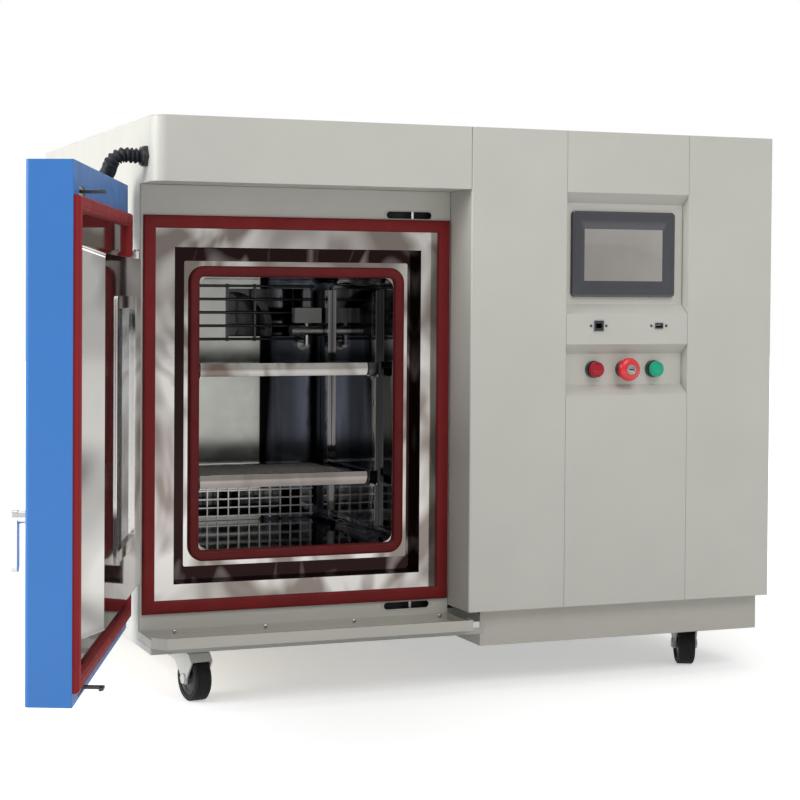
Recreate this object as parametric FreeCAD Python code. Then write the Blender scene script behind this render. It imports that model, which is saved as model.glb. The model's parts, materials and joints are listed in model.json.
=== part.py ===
import FreeCAD, Part
import math
import os

# Benchtop temperature and humidity test chamber on casters, door standing open.
# Frame while modelling: X from the cabinet's left side to its right, Y from the front
# plane to the back, Z up from the floor.  All sizes are in millimetres.

V = FreeCAD.Vector

# ---- cabinet -------------------------------------------------------------------------
width = 1150.0            # left side to right side
depth = 820.0             # front plane to rear panel
height = 955.0            # floor to the top panel
sheet = 1.5               # folded steel sheet
seam = 0.5                # gap between neighbouring panels
clear = 0.4               # gap between pieces that move past each other
fit = 0.05                # radial clearance of a pin or shaft in its bore
flange = 25.0             # width of the panels' folded edges
corner_r = 22.0           # rounded front left corner of the header
bend_r = 3.0              # outer radius of the folded panel edges
base_z = 97.0             # underside of the base frame
skirt_z = 73.0            # underside of the skirt below the control side
panel_z = 135.0           # lower edge of the control side's front panels
header_h = 105.0          # header above the door, up to the top panel
header_z = height - header_h
recess_x = 555.0          # right wall of the door recess
recess_y = 83.0           # depth of the door recess
panel_w = 241.0           # control panel
column_w = 173.0          # right column beside it
seam_b = width - column_w                      # right edge of the control panel
seam_a = seam_b - panel_w                      # left edge of the control panel

# ---- base frame ----------------------------------------------------------------------
tube_w, tube_h, tube_wall = 40.0, 27.0, 2.5
frame_x0, frame_in = 6.0, 15.0                 # frame in from the left and right sides
frame_x1 = width - frame_in
frame_set = 3.0           # front tube back from the recess plane
frame_rear = 22.0         # base frame back from the rear panel
plate_t = 4.0             # caster mounting plates, under the tubes
skirt_x0, skirt_in = 586.0, 11.0
skirt_x1 = width - skirt_in
skirt_y = 19.5
apron_y = 4.0             # front of the low strip under the drip tray

# ---- door recess ---------------------------------------------------------------------
frame_open_x0, frame_open_x1 = 21.5, 536.5     # painted frame's opening
seal_x0, seal_x1 = 6.0, 552.0                  # outer edge of the cabinet gasket
seal_z0, seal_drop = 147.0, 50.0               # gasket below the header
seal_z1 = header_z - seal_drop
seal_cover = 15.5                              # how far the gasket covers the painted frame
frame_open_z0, frame_open_z1 = seal_z0 + seal_cover, seal_z1 - seal_cover
throat_x0, throat_x1 = 60.0, 500.0             # first opening of the stainless throat
throat_z0, throat_drop = 194.0, 52.0           # throat below the gasket's top
throat_z1 = seal_z1 - throat_drop
throat_depth = 24.0                            # first opening back to the step
work_x0, work_x1 = 109.0, 459.0                # workspace
work_z0, work_drop = 245.0, 48.0
work_z1 = throat_z1 - work_drop
work_r = 18.0                                  # rounded corners of the inner opening
gasket_w = 21.0
cabinet_gasket_t = 7.0
door_gasket_t = 9.6
inner_seal_w, inner_seal_t = 18.0, 8.5
slot_x, slot_len, slot_h = 477.0, 84.0, 12.0   # latch slots above and below the gasket
slot_out_low, slot_out_high = 9.0, 8.0         # slots beyond the gasket's edge
slot_z_low, slot_z_high = seal_z0 - slot_out_low, seal_z1 + slot_out_high
strike_dx, strike_r = 8.0, 3.0                 # strike pin, right of the slot's centre
pocket_depth = 18.0

# ---- drip tray -----------------------------------------------------------------------
tray_out = 20.0           # how far the tray stands in front of the cabinet
tray_floor = 108.0
tray_lip = 126.0
tray_back = 121.0
tray_cut = 20.0           # cut corner at the left

# ---- workspace -----------------------------------------------------------------------
liner_t = 1.2
work_depth = 347.0        # step plane to the air duct panel
duct_depth = 80.0
insulation_y1 = 600.0
upright_w, upright_t = 20.0, 8.0
upright_front, upright_back = 58.0, 288.0      # from the step plane
upright_foot = 20.0
slot_pitch, slot_tall, slot_wide = 60.0, 14.0, 5.0
shelf_front = 33.0        # shelf's front edge, behind the step plane
shelf_len = 300.0
shelf_side = 5.0          # gap between a shelf and the uprights
shelf_strip = 22.0        # height of the bent front strip
shelf_t = 1.5
shelf_lower, shelf_drop = 353.0, 158.0
shelf_upper = work_z1 - shelf_drop             # upper faces
bracket_t, bracket_len = 3.0, 20.0
hole_cols, hole_rows, hole_w, hole_l = 8, 7, 26.0, 30.0
outlet_x0, outlet_h, outlet_drop = 272.0, 90.0, 18.0
outlet_z1 = work_z1 - outlet_drop
outlet_z0 = outlet_z1 - outlet_h
return_z0, return_z1 = 253.0, 303.0
vent_side = 22.0          # air openings in from the workspace's sides
guard_bars, guard_pitch, guard_r = 5, 25.0, 2.6
guard_x0, guard_strap = 170.0, 4.0
grid_cols, grid_rows, grid_r = 15, 3, 1.25
sensor_r, sensor_rise, sensor_len = 10.0, 11.0, 64.0
sensor_z = outlet_z0 + sensor_rise
sensor_stem_r = 6.0

# ---- air duct ------------------------------------------------------------------------
fan_drop = 90.0
fan_z = work_z1 - fan_drop
fan_r, fan_w = 80.0, 42.0
fan_hub_r, shaft_r = 18.0, 6.0
blade_count = 12
coil_under, coil_h = 185.0, 100.0              # coil below the fan's axis
coil_z1 = fan_z - coil_under
coil_z0 = coil_z1 - coil_h
fin_count = 12
heater_r, heater_rows, heater_pitch = 4.0, 4, 22.0
heater_up = 25.0
heater_z = coil_z1 + heater_up
motor_r, motor_len = 52.0, 110.0

# ---- cable port ----------------------------------------------------------------------
port_y, port_z, port_r, port_wall, port_flange = 290.0, 440.0, 25.0, 2.0, 9.0

# ---- control panel -------------------------------------------------------------------
recess_in = 20.0
hmi_drop, hmi_recess_h = 105.0, 210.0
hmi_top = height - hmi_drop                    # display recess, at the front plane
hmi_bottom = hmi_top - hmi_recess_h
port_band, key_recess_h = 52.0, 88.0           # band of sockets between the two recesses
key_top = hmi_bottom - port_band               # push button recess, at the front plane
key_bottom = key_top - key_recess_h
slope = 17.0                                   # height of each sloping recess edge
hmi_w, hmi_h, hmi_lower, hmi_left = 204.0, 149.0, 0.5, 0.5
hmi_z = (hmi_top + hmi_bottom) / 2 - hmi_lower
hmi_x = (seam_a + seam_b) / 2 - hmi_left
hmi_proud, hmi_body_w, hmi_body_h, hmi_body_d = 7.0, 190.0, 136.0, 40.0
screen_w, screen_h, screen_lower = 155.0, 90.0, 1.5
screen_z = hmi_z - screen_lower
port_drop = 20.0
port_line = hmi_bottom - port_drop
net_left, usb_right = 57.0, 62.5
net_x, usb_x = hmi_x - net_left, hmi_x + usb_right
net_w, net_h, usb_w, usb_h = 18.6, 18.0, 16.0, 9.8
jack_w, jack_h, jack_d = 11.8, 8.2, 13.0
bus_w, bus_h, bus_d = 12.6, 5.4, 12.0
button_pitch = 59.5
button_z = (key_top + key_bottom) / 2
button_r, lens_r, stop_r, stem_r = 15.0, 13.6, 20.0, 11.0
button_stem = 8.0
lens_travel, stop_travel = 3.0, 4.0
collar_t, lens_proud, stop_proud = 7.0, 9.0, 17.0

# ---- door ----------------------------------------------------------------------------
door_angle = 112.0        # how far the door stands open
door_x1 = 547.0           # free edge when closed
door_z0, door_gap = 128.5, 4.0                 # gap between door and header
door_z1 = header_z - door_gap
door_y0, door_t = 3.0, 63.0
door_edge_r = 5.0
hinge_x, hinge_y = -6.5, 79.0
knuckle_r, pin_r, leaf_t = 6.0, 3.5, 2.5
hinge_up, hinge_down, hinge_h, hinge_mid = 121.5, 146.0, 80.0, 26.0
hinge_low, hinge_high = door_z0 + hinge_up, door_z1 - hinge_down
leaf_front, leaf_back = 46.0, 47.0
plug_gap = 11.0           # between the plug and the throat
plug_inset = 12.0         # how far the plug's sides slope in
plug_depth = 32.0
plug_r = 8.0
flange_in = 7.0           # door's painted inner flange, in under the gasket
win_x0, win_x1, win_z0, win_drop = 176.0, 356.0, 306.0, 98.0
win_z1 = throat_z1 - win_drop
win_trim, win_wall, pane_t = 18.0, 2.0, 4.0
handle_x, handle_z = 497.0, 372.0
spindle_r, lever_w, lever_len, lever_gap, lever_t = 5.0, 20.0, 74.0, 14.0, 9.0
plate_w, plate_h, plate_d = 34.0, 96.0, 4.0
latch_travel = 13.0
bar_w, bar_t, bar_y = 10.0, 3.0, 51.0
hook_w, hook_t, claw_w, claw_d = 8.0, 4.0, 20.0, 5.6
crank_pin_r = 3.0
gland_down = 66.0         # elbow gland on the door's hinge edge, below its top
gland_z = door_z1 - gland_down
hose_r = 12.5
gland_y, gland_drop = 43.0, 64.0               # gland on the cabinet's side
gland_top = height - gland_drop
hose_sag = 28.5

# ---- casters -------------------------------------------------------------------------
caster_x0, caster_in = 94.0, 104.0
caster_x1 = width - caster_in
caster_y = 116.0
wheel_r, wheel_w, trail = 37.5, 29.0, 28.0
axle_r, king_r, leg_t = 6.0, 8.0, 3.0
pedal_pin_r, pedal_x, pedal_z = 3.0, -30.0, 70.0
caster_turns = {"front_left": -81.0, "front_right": -113.0, "rear_left": 75.0, "rear_right": 128.0}

# ---- machine side --------------------------------------------------------------------
comp_x, comp_y, comp_r, comp_h = 700.0, 640.0, 62.0, 200.0
coil_in, coil_deep = 38.0, 42.0
coil_x1 = width - coil_in
coil_x0 = coil_x1 - coil_deep
coil_y0, coil_y1, coil_b, coil_t = 400.0, 720.0, 150.0, 450.0
vent_rows, vent_pitch, vent_h, vent_w = 12, 24.0, 7.0, 130.0
boiler_x, boiler_y, boiler_leg, boiler_r, boiler_h = 640.0, 230.0, 12.0, 50.0, 118.0
plate_y, plate_x0, plate_in, plate_drop, plate_tall = 330.0, 600.0, 40.0, 35.0, 430.0
plate_x1, plate_z1 = width - plate_in, height - plate_drop
plate_z0 = plate_z1 - plate_tall
drain_x, drain_z, drain_r, drain_out = 284.0, 190.0, 8.0, 22.0
mains_in, mains_z, mains_r, mains_len = 100.0, 190.0, 7.0, 34.0
mains_x = width - mains_in

# ---- sizes that follow ---------------------------------------------------------------
frame_y0 = recess_y + frame_set
frame_top = base_z + plate_t + tube_h
floor_top = frame_top + sheet
step_y = recess_y + throat_depth               # plane of the inner gasket
duct_y = step_y + work_depth                   # air duct panel
liner_y1 = duct_y + duct_depth
work_cx = (work_x0 + work_x1) / 2.0
door_y1 = door_y0 + door_t                     # inner face of the closed door
plug_y = door_y1 + plug_depth                  # face of the plug, door closed
crank_r = latch_travel / math.sqrt(2.0)
hook_x = slot_x + strike_dx - strike_r - clear - hook_w - latch_travel
bar_x = hook_x
button_x = [hmi_x + 3.0 - button_pitch, hmi_x + 3.0, hmi_x + 3.0 + button_pitch]
wheel_z = wheel_r
crown_z = 81.4            # underside of the fork's top plate
fork_top = base_z - 0.3


def box(x0, x1, y0, y1, z0, z1):
    return Part.makeBox(x1 - x0, y1 - y0, z1 - z0, V(x0, y0, z0))


def rod(axis, r, x, y, z, length):
    """A cylinder from (x, y, z) along +X, +Y or +Z."""
    return Part.makeCylinder(r, length, V(x, y, z), {"X": V(1, 0, 0), "Y": V(0, 1, 0), "Z": V(0, 0, 1)}[axis])


def pipe(axis, r_out, r_in, x, y, z, length):
    return rod(axis, r_out, x, y, z, length).cut(rod(axis, r_in, x, y, z, length))


def place(axis, u, v, w):
    return {"X": V(w, u, v), "Y": V(u, w, v), "Z": V(u, v, w)}[axis]


def prism(axis, points, lo, hi):
    """A polygon in the plane across the axis, drawn out from lo to hi."""
    pts = [place(axis, u, v, lo) for u, v in points]
    return Part.Face(Part.makePolygon(pts + [pts[0]])).extrude(place(axis, 0, 0, hi - lo))


def slab(axis, u0, u1, v0, v1, lo, hi, r=0.0):
    """A rectangular plate with rounded corners, standing across the axis."""
    if r <= 0:
        return prism(axis, [(u0, v0), (u1, v0), (u1, v1), (u0, v1)], lo, hi)
    k = r * (1 - math.sqrt(0.5))
    p = lambda u, v: place(axis, u, v, lo)
    edges = []
    runs = [((u0 + r, v0), (u1 - r, v0), (u1 - k, v0 + k)), ((u1, v0 + r), (u1, v1 - r), (u1 - k, v1 - k)),
            ((u1 - r, v1), (u0 + r, v1), (u0 + k, v1 - k)), ((u0, v1 - r), (u0, v0 + r), (u0 + k, v0 + k))]
    for i, (a, b, mid) in enumerate(runs):
        nxt = runs[(i + 1) % 4][0]
        edges.append(Part.LineSegment(p(*a), p(*b)).toShape())
        edges.append(Part.Arc(p(*b), p(*mid), p(*nxt)).toShape())
    return Part.Face(Part.Wire(edges)).extrude(place(axis, 0, 0, hi - lo))


def ring(axis, outer, inner, lo, hi, r_out=0.0, r_in=0.0):
    """A flat frame: outer and inner are (u0, u1, v0, v1)."""
    return slab(axis, *outer, lo, hi, r_out).cut(slab(axis, *inner, lo, hi, r_in))


def grow(rect, d):
    return (rect[0] - d, rect[1] + d, rect[2] - d, rect[3] + d)


def fuse(shapes):
    out = shapes[0]
    if len(shapes) > 1:
        out = out.multiFuse(shapes[1:])
    return out.removeSplitter()


def drill(shape, tools):
    return shape.cut(Part.Compound(tools)) if tools else shape


def soften(shape, r, keep):
    """Fillet the edges for which keep(edge) holds."""
    edges = [e for e in shape.Edges if keep(e)]
    return shape.makeFillet(r, edges)


def along(axis, e, at=None, tol=0.01):
    """True for a straight edge along the axis whose other two coordinates are in at."""
    if len(e.Vertexes) != 2:
        return False
    a, b = e.Vertexes[0].Point, e.Vertexes[1].Point
    d = [abs(b.x - a.x), abs(b.y - a.y), abs(b.z - a.z)]
    k = "XYZ".index(axis)
    if d[k] < 0.5 or max(d[j] for j in range(3) if j != k) > tol:
        return False
    if at is None:
        return True
    rest = [(a.x, a.y, a.z)[j] for j in range(3) if j != k]
    return any(abs(rest[0] - p[0]) < tol and abs(rest[1] - p[1]) < tol for p in at)


def hexagon(axis, across, u, v, lo, hi):
    r = across / math.sqrt(3.0)
    pts = [(u + r * math.cos(math.radians(60 * i)), v + r * math.sin(math.radians(60 * i))) for i in range(6)]
    return prism(axis, pts, lo, hi)


def route(points, radii):
    """Straight runs joined by tangent arcs, as a list of edges."""
    edges, start = [], points[0]
    for i in range(1, len(points) - 1):
        p, a, b = points[i], points[i - 1], points[i + 1]
        ua, ub = (a - p).normalize(), (b - p).normalize()
        half = math.acos(max(-1.0, min(1.0, ua.dot(ub)))) / 2.0
        t = radii[i - 1] / math.tan(half)
        p1, p2 = p + ua * t, p + ub * t
        bis = (ua + ub).normalize()
        mid = p + bis * (radii[i - 1] / math.sin(half) - radii[i - 1])
        edges.append(Part.LineSegment(start, p1).toShape())
        edges.append(Part.Arc(p1, mid, p2).toShape())
        start = p2
    edges.append(Part.LineSegment(start, points[-1]).toShape())
    return edges


def tube(points, radii, r, r_in=0.0):
    """A round tube along a route."""
    path = Part.Wire(route(points, radii))
    first = (points[1] - points[0]).normalize()
    out = path.makePipe(Part.Face(Part.Wire(Part.makeCircle(r, points[0], first))))
    if r_in:
        out = out.cut(path.makePipe(Part.Face(Part.Wire(Part.makeCircle(r_in, points[0], first)))))
    return out


def group(*shapes):
    """Several solids of one kind or one assembly, kept apart in one node."""
    solids = []
    for shape in shapes:
        solids += shape.Solids
    return Part.Compound(solids)


def swing(shape, angle=None):
    """Carry a piece of the closed door to where the open door holds it."""
    out = shape.copy()
    out.rotate(V(hinge_x, hinge_y, 0), V(0, 0, 1), -door_angle if angle is None else angle)
    return out


def base_parts():
    """Tube frame welded of separate tubes, its caster plates and pins, and the strip under the tray."""
    y1 = depth - frame_rear
    z0, z1 = base_z + plate_t, frame_top
    bars = [(frame_x0, frame_x1, frame_y0, frame_y0 + tube_w), (frame_x0, frame_x1, y1 - tube_w, y1)]
    ties = [(x, x + tube_w, frame_y0 + tube_w, y1 - tube_w) for x in (frame_x0, recess_x, frame_x1 - tube_w)]
    w = tube_wall
    parts = [box(*b, z0, z1).cut(box(b[0], b[1], b[2] + w, b[3] - w, z0 + w, z1 - w)) for b in bars]
    parts += [box(*t, z0, z1).cut(box(t[0] + w, t[1] - w, t[2], t[3], z0 + w, z1 - w)) for t in ties]
    for x, y in caster_places().values():
        px0, px1 = (frame_x0, x + 46) if x < width / 2 else (x - 46, frame_x1)
        py0, py1 = (frame_y0, y + 46) if y < depth / 2 else (y - 46, y1)
        pin = rod("Z", king_r, x, y, crown_z - 1, base_z - crown_z + 1)
        collar = rod("Z", king_r + 3, x, y, crown_z - clear - 3.5, 3.5)
        parts.append(fuse([box(px0, px1, py0, py1, base_z, z0), pin, collar]))
    apron = fuse([box(sheet, skirt_x0 - seam, apron_y, apron_y + sheet, base_z, tray_floor - clear),
                  box(sheet, skirt_x0 - seam, apron_y, frame_y0, base_z, base_z + sheet)])
    return group(*parts, apron)


def caster_places():
    rear = depth - caster_y
    return {"front_left": (caster_x0, caster_y), "front_right": (caster_x1, caster_y),
            "rear_left": (caster_x0, rear), "rear_right": (caster_x1, rear)}


def skirt():
    """Low skirt round the control side, hung on the outside of the base frame."""
    y1, x0, x1 = depth - skirt_y, skirt_x0, skirt_x1
    top = panel_z - seam
    front = box(x0, x1, skirt_y, skirt_y + sheet, skirt_z, top)
    side = box(x1 - sheet, x1, skirt_y, y1, skirt_z, top)
    rear = box(x0, x1, y1 - sheet, y1, skirt_z, top)
    lip = box(x0, x0 + sheet, skirt_y, y1, skirt_z, base_z - seam)
    out = fuse([front, side, rear, lip])
    return soften(out, bend_r, lambda e: along("Z", e, [(x1, skirt_y), (x1, y1)]))


def left_panel():
    y0 = corner_r + seam
    outline = [(y0, header_z), (y0, height), (depth - sheet, height),
               (depth - sheet, base_z), (apron_y + seam, base_z), (apron_y + seam, tray_floor - clear),
               (recess_y, tray_floor - clear), (recess_y, header_z)]
    wall = prism("X", outline, 0, sheet)
    fold = box(0, flange, depth - 2 * sheet, depth - sheet, base_z, height)
    foot = box(0, frame_x0 - seam, frame_y0, depth - sheet, base_z, base_z + sheet)
    out = fuse([wall, fold, foot])
    holes = [rod("X", port_r + port_wall + clear, -1, port_y, port_z, 4),
             rod("X", hose_r + 1, -1, gland_y, gland_top, 4)]
    return drill(out, holes)


def right_panel():
    x0, y0 = width - sheet, flange + seam
    z0, z1 = panel_z, height
    wall = box(x0, width, y0, depth - sheet, z0, z1)
    fold = box(width - flange, width, depth - 2 * sheet, depth - sheet, z0, z1)
    foot = box(skirt_x1 - 8, width, y0, depth - sheet, z0, z0 + sheet)
    out = fuse([wall, fold, foot])
    mid = (coil_y0 + coil_y1) / 2
    slots = []
    for col in (-1, 1):
        for row in range(vent_rows):
            z = coil_b + 12 + row * vent_pitch
            y = mid + col * (vent_w / 2 + 12)
            slots.append(box(x0 - 1, width + 1, y - vent_w / 2, y + vent_w / 2, z, z + vent_h))
    out = drill(out, slots)
    hoods = []
    for s in slots:
        b = s.BoundBox
        hoods.append(prism("Y", [(x0, b.ZMax), (width + 4, b.ZMin), (width + 4, b.ZMin - 1.2), (x0, b.ZMax - 1.4)],
                           b.YMin, b.YMax))
    return fuse([out] + [h.cut(box(0, x0, 0, depth, 0, height)) for h in hoods]), slots


def rear_panel():
    z0 = frame_top + seam
    wall = box(sheet + seam, width - sheet - seam, depth - sheet, depth, z0, height)
    wall = drill(wall, [rod("Y", drain_r + clear, drain_x, depth - 5, drain_z, 10),
                        rod("Y", mains_r + 5 + clear, mains_x, depth - 5, mains_z, 10)])
    slots = []
    for col in range(3):
        for row in range(vent_rows - 2):
            x = plate_x0 + 90 + col * (vent_w + 30)
            z = plate_z0 + 60 + row * vent_pitch
            slots.append(box(x, x + vent_w, depth - 5, depth + 5, z, z + vent_h))
    return drill(wall, slots)


def top_panel():
    """Lid between the side panels, its front left corner following the header's."""
    y1 = depth - 2 * sheet - seam
    top = box(sheet, width - sheet, sheet, y1, height - sheet, height)
    top = soften(top, corner_r - sheet, lambda e: along("Z", e, [(sheet, sheet)]))
    x0, x1 = corner_r + sheet, width - 2 * sheet - seam
    folds = [box(x0, x1, y, y + sheet, height - flange, height) for y in (2 * sheet, y1 - sheet)]
    ribs = [box(x, x + 30, 3 * sheet, y1 - sheet, height - 14, height - sheet)
            for x in (width / 4, 3 * width / 4)]
    return fuse([top] + folds + ribs)


def header():
    """Box section above the door, its front left corner rolled round."""
    x1 = recess_x - seam
    outer = box(0, x1, 0, recess_y, header_z, height)
    outer = soften(outer, corner_r, lambda e: along("Z", e, [(0, 0)]))
    outer = outer.cut(box(-1, sheet + seam, corner_r, recess_y + 1, header_z - 1, height + 1))
    inner = box(sheet, x1 - sheet, sheet, recess_y + 1, header_z + sheet, height + 1)
    inner = soften(inner, corner_r - sheet, lambda e: along("Z", e, [(sheet, sheet)]))
    out = outer.cut(inner)
    return out.cut(box(corner_r, x1 + 1, sheet, recess_y + 1, height - flange - seam, height + 1)).cut(
        box(-1, x1 + 1, sheet, recess_y + 1, height - sheet, height + 1).common(
            box(sheet, x1, sheet, recess_y + 1, 0, height + 1)))


def column_left():
    """Front panel between the door recess and the control panel, with both of its returns."""
    x0, x1, z0, z1 = recess_x, seam_a - seam / 2, panel_z, height
    front = box(x0, x1, 0, sheet, z0, z1)
    recess_wall = box(x0, x0 + sheet, 0, recess_y, z0, header_z)
    top = height - flange - seam
    upper = box(x0, x0 + sheet, 0, flange, header_z, top)
    inner = box(x1 - sheet, x1, 0, flange, z0, top)
    back = box(x0, x0 + flange, recess_y - sheet, recess_y, z0, header_z)
    low = box(x0, x1, 0, flange, z0, z0 + sheet)
    out = fuse([front, recess_wall, upper, inner, back, low])
    return soften(out, bend_r, lambda e: along("Z", e, [(x0, 0)]))


def column_right():
    x0, x1, z0, z1 = seam_b + seam / 2, width, panel_z, height
    front = box(x0, x1, 0, sheet, z0, z1)
    inner = box(x0, x0 + sheet, 0, flange, z0, height - flange - seam)
    outer = box(x1 - sheet, x1, 0, flange, z0, z1)
    low = box(x0, x1, 0, flange, z0, z0 + sheet)
    out = fuse([front, inner, outer, low])
    return soften(out, bend_r, lambda e: along("Z", e, [(x1, 0)]))


def control_panel():
    """One folded sheet whose two recesses have sloping upper and lower edges."""
    front = [(0, height), (0, hmi_top), (recess_in, hmi_top - slope), (recess_in, hmi_bottom + slope),
             (0, hmi_bottom), (0, key_top), (recess_in, key_top - slope), (recess_in, key_bottom + slope),
             (0, key_bottom), (0, panel_z)]
    run = math.hypot(recess_in, slope)
    push = sheet * (run - recess_in) / slope      # corner shift that keeps the sheet's thickness
    back = []
    for i, (y, z) in enumerate(front):
        turn = 0 if i in (0, len(front) - 1) else (-1 if (i - 1) % 4 < 2 else 1)
        back.append((y + sheet, z + turn * push))
    x0, x1 = seam_a + seam / 2, seam_b - seam / 2
    out = prism("X", front + back[::-1], x0, x1)
    low = box(x0, x1, 0, flange, panel_z, panel_z + sheet)
    out = fuse([out, low])
    y0 = recess_in - 1
    holes = [box(hmi_x - hmi_body_w / 2 - clear, hmi_x + hmi_body_w / 2 + clear, y0, y0 + 4,
                 hmi_z - hmi_body_h / 2 - clear, hmi_z + hmi_body_h / 2 + clear)]
    holes += [rod("Y", stem_r + clear, x, y0, button_z, 4) for x in button_x]
    holes.append(box(net_x - net_w / 2 + 1, net_x + net_w / 2 - 1, -1, 3, port_line - net_h / 2 + 1,
                     port_line + net_h / 2 - 1))
    holes.append(box(usb_x - usb_w / 2 + 1, usb_x + usb_w / 2 - 1, -1, 3, port_line - usb_h / 2 + 1,
                     port_line + usb_h / 2 - 1))
    return drill(out, holes)


def slot_shape(z, lo, hi, d=0.0):
    h = slot_h / 2 + d
    return slab("Y", slot_x - slot_len / 2 - d, slot_x + slot_len / 2 + d, z - h, z + h, lo, hi, h - 0.01)


def front_frame():
    outer = (sheet + seam, recess_x - seam, tray_floor + sheet + clear, header_z - seam)
    opening = (frame_open_x0, frame_open_x1, frame_open_z0, frame_open_z1)
    out = ring("Y", outer, opening, recess_y, recess_y + sheet)
    return drill(out, [slot_shape(z, recess_y - 1, recess_y + 4) for z in (slot_z_low, slot_z_high)])


def strikes():
    """A closed steel pocket behind each slot, with the pin that the hook catches."""
    out = []
    y0, y1 = recess_y + sheet, recess_y + sheet + pocket_depth
    for z in (slot_z_low, slot_z_high):
        hw, hh = slot_len / 2 + 3, slot_h / 2 + 3
        cup = box(slot_x - hw, slot_x + hw, y0, y1, z - hh, z + hh)
        cup = cup.cut(box(slot_x - hw + sheet, slot_x + hw - sheet, y0, y1 - sheet, z - hh + sheet, z + hh - sheet))
        pin = rod("Z", strike_r, slot_x + strike_dx, y0 + strike_r + 0.5, z - hh, 2 * hh)
        out.append(fuse([cup, pin]))
    return Part.Compound(out)


def throat():
    """Stainless frame, first step and inner step of the door opening, in one pressing."""
    t = liner_t
    first = (throat_x0, throat_x1, throat_z0, throat_z1)
    second = (work_x0, work_x1, work_z0, work_z1)
    outer = grow((frame_open_x0, frame_open_x1, frame_open_z0, frame_open_z1), -seam)
    face = ring("Y", outer, first, recess_y, recess_y + t)
    walls = ring("Y", grow(first, t), first, recess_y, step_y)
    step = ring("Y", grow(first, t), second, step_y, step_y + t, 0, work_r)
    return fuse([face, walls, step])


def liner():
    """Workspace box and air duct behind it, with every hole that something passes."""
    t = liner_t
    outer = grow((work_x0, work_x1, work_z0, work_z1), t)
    y0 = step_y + t
    out = slab("Y", *outer, y0, liner_y1 + t, work_r + t)
    out = out.cut(slab("Y", work_x0, work_x1, work_z0, work_z1, y0 - 1, liner_y1, work_r))
    rim = ring("Y", grow(outer, 14), outer, y0, y0 + t, work_r + 10, work_r + t)
    out = fuse([out, rim])
    pipe_y = (duct_y + liner_y1) / 2
    holes = [rod("X", port_r + port_wall + clear, work_x0 - 5, port_y, port_z, 10),
             rod("Y", shaft_r + 3, work_cx, liner_y1 - 5, fan_z, 10),
             rod("Z", drain_r + clear, drain_x, pipe_y, work_z0 - 5, 10)]
    for z in coil_lines():
        holes.append(rod("X", 5 + clear, work_x1 - 5, pipe_y, z, 10))
    holes.append(rod("X", 6 + clear, work_x1 - 5, pipe_y, steam_line(), 10))
    holes.append(rod("X", heater_r + clear, work_x1 - 5, pipe_y, heater_z, 10))
    holes.append(rod("X", heater_r + clear, work_x1 - 5, pipe_y,
                     heater_z + (heater_rows - 1) * heater_pitch, 10))
    return drill(out, holes)


def coil_lines():
    return coil_z0 + 20, coil_z1 - 20


def steam_line():
    return coil_z0 - 25


def insulation():
    """Foam block that fills the space between the outer case and the stainless liner."""
    block = box(sheet + seam, recess_x - seam, recess_y + sheet, insulation_y1, frame_top + seam,
                header_z - seam)
    t, c = liner_t, clear
    first = grow((throat_x0, throat_x1, throat_z0, throat_z1), t + c)
    outer = grow((work_x0, work_x1, work_z0, work_z1), t + c)
    cuts = [slab("Y", *first, recess_y, step_y + t + c), slab("Y", *grow(outer, 14), step_y, step_y + 2 * t + c,
            work_r + 10), slab("Y", *outer, step_y, liner_y1 + t + c, work_r + t + c)]
    pipe_y = (duct_y + liner_y1) / 2
    cuts.append(rod("X", port_r + port_wall + c, -1, port_y, port_z, work_x0 + 5))
    cuts.append(rod("Y", shaft_r + 3, work_cx, liner_y1 - 2, fan_z, insulation_y1 - liner_y1 + 5))
    for z in coil_lines():
        cuts.append(rod("X", 5 + c, work_x1 - 2, pipe_y, z, recess_x - work_x1 + 5))
    cuts.append(rod("X", 6 + c, work_x1 - 2, pipe_y, steam_line(), recess_x - work_x1 + 5))
    for z in (heater_z, heater_z + (heater_rows - 1) * heater_pitch):
        cuts.append(rod("X", heater_r + c, work_x1 - 2, pipe_y, z, recess_x - work_x1 + 5))
    cuts.append(tube(*drain_route(extra=5), drain_r + c))
    for z in (slot_z_low, slot_z_high):
        cuts.append(box(slot_x - slot_len / 2 - 4, slot_x + slot_len / 2 + 4, recess_y,
                        recess_y + sheet + pocket_depth + c, z - slot_h / 2 - 4, z + slot_h / 2 + 4))
    return drill(block, cuts)


def drain_route(extra=0.0):
    pipe_y = (duct_y + liner_y1) / 2
    top = V(drain_x, pipe_y, work_z0 + extra)
    return [top, V(drain_x, pipe_y, drain_z), V(drain_x, depth + drain_out, drain_z)], [20.0]


def drain_pipe():
    out = tube(*drain_route(), drain_r, drain_r - 1.5)
    collar = pipe("Z", drain_r + 5, drain_r - 0.5, drain_x, (duct_y + liner_y1) / 2, work_z0, 1.0)
    nut = hexagon("Y", 26, drain_x, drain_z, depth, depth + 6).cut(
        rod("Y", drain_r - 0.5, drain_x, depth - 1, drain_z, 8))
    return fuse([out, collar, nut])


def cabinet_gasket():
    outer = (seal_x0, seal_x1, seal_z0, seal_z1)
    y0 = recess_y - cabinet_gasket_t
    out = ring("Y", outer, grow(outer, -gasket_w), y0, recess_y, 3, 1)
    return out


def inner_gasket():
    inner = (work_x0, work_x1, work_z0, work_z1)
    return ring("Y", grow(inner, inner_seal_w), inner, step_y - inner_seal_t, step_y, work_r + 8, work_r)


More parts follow.
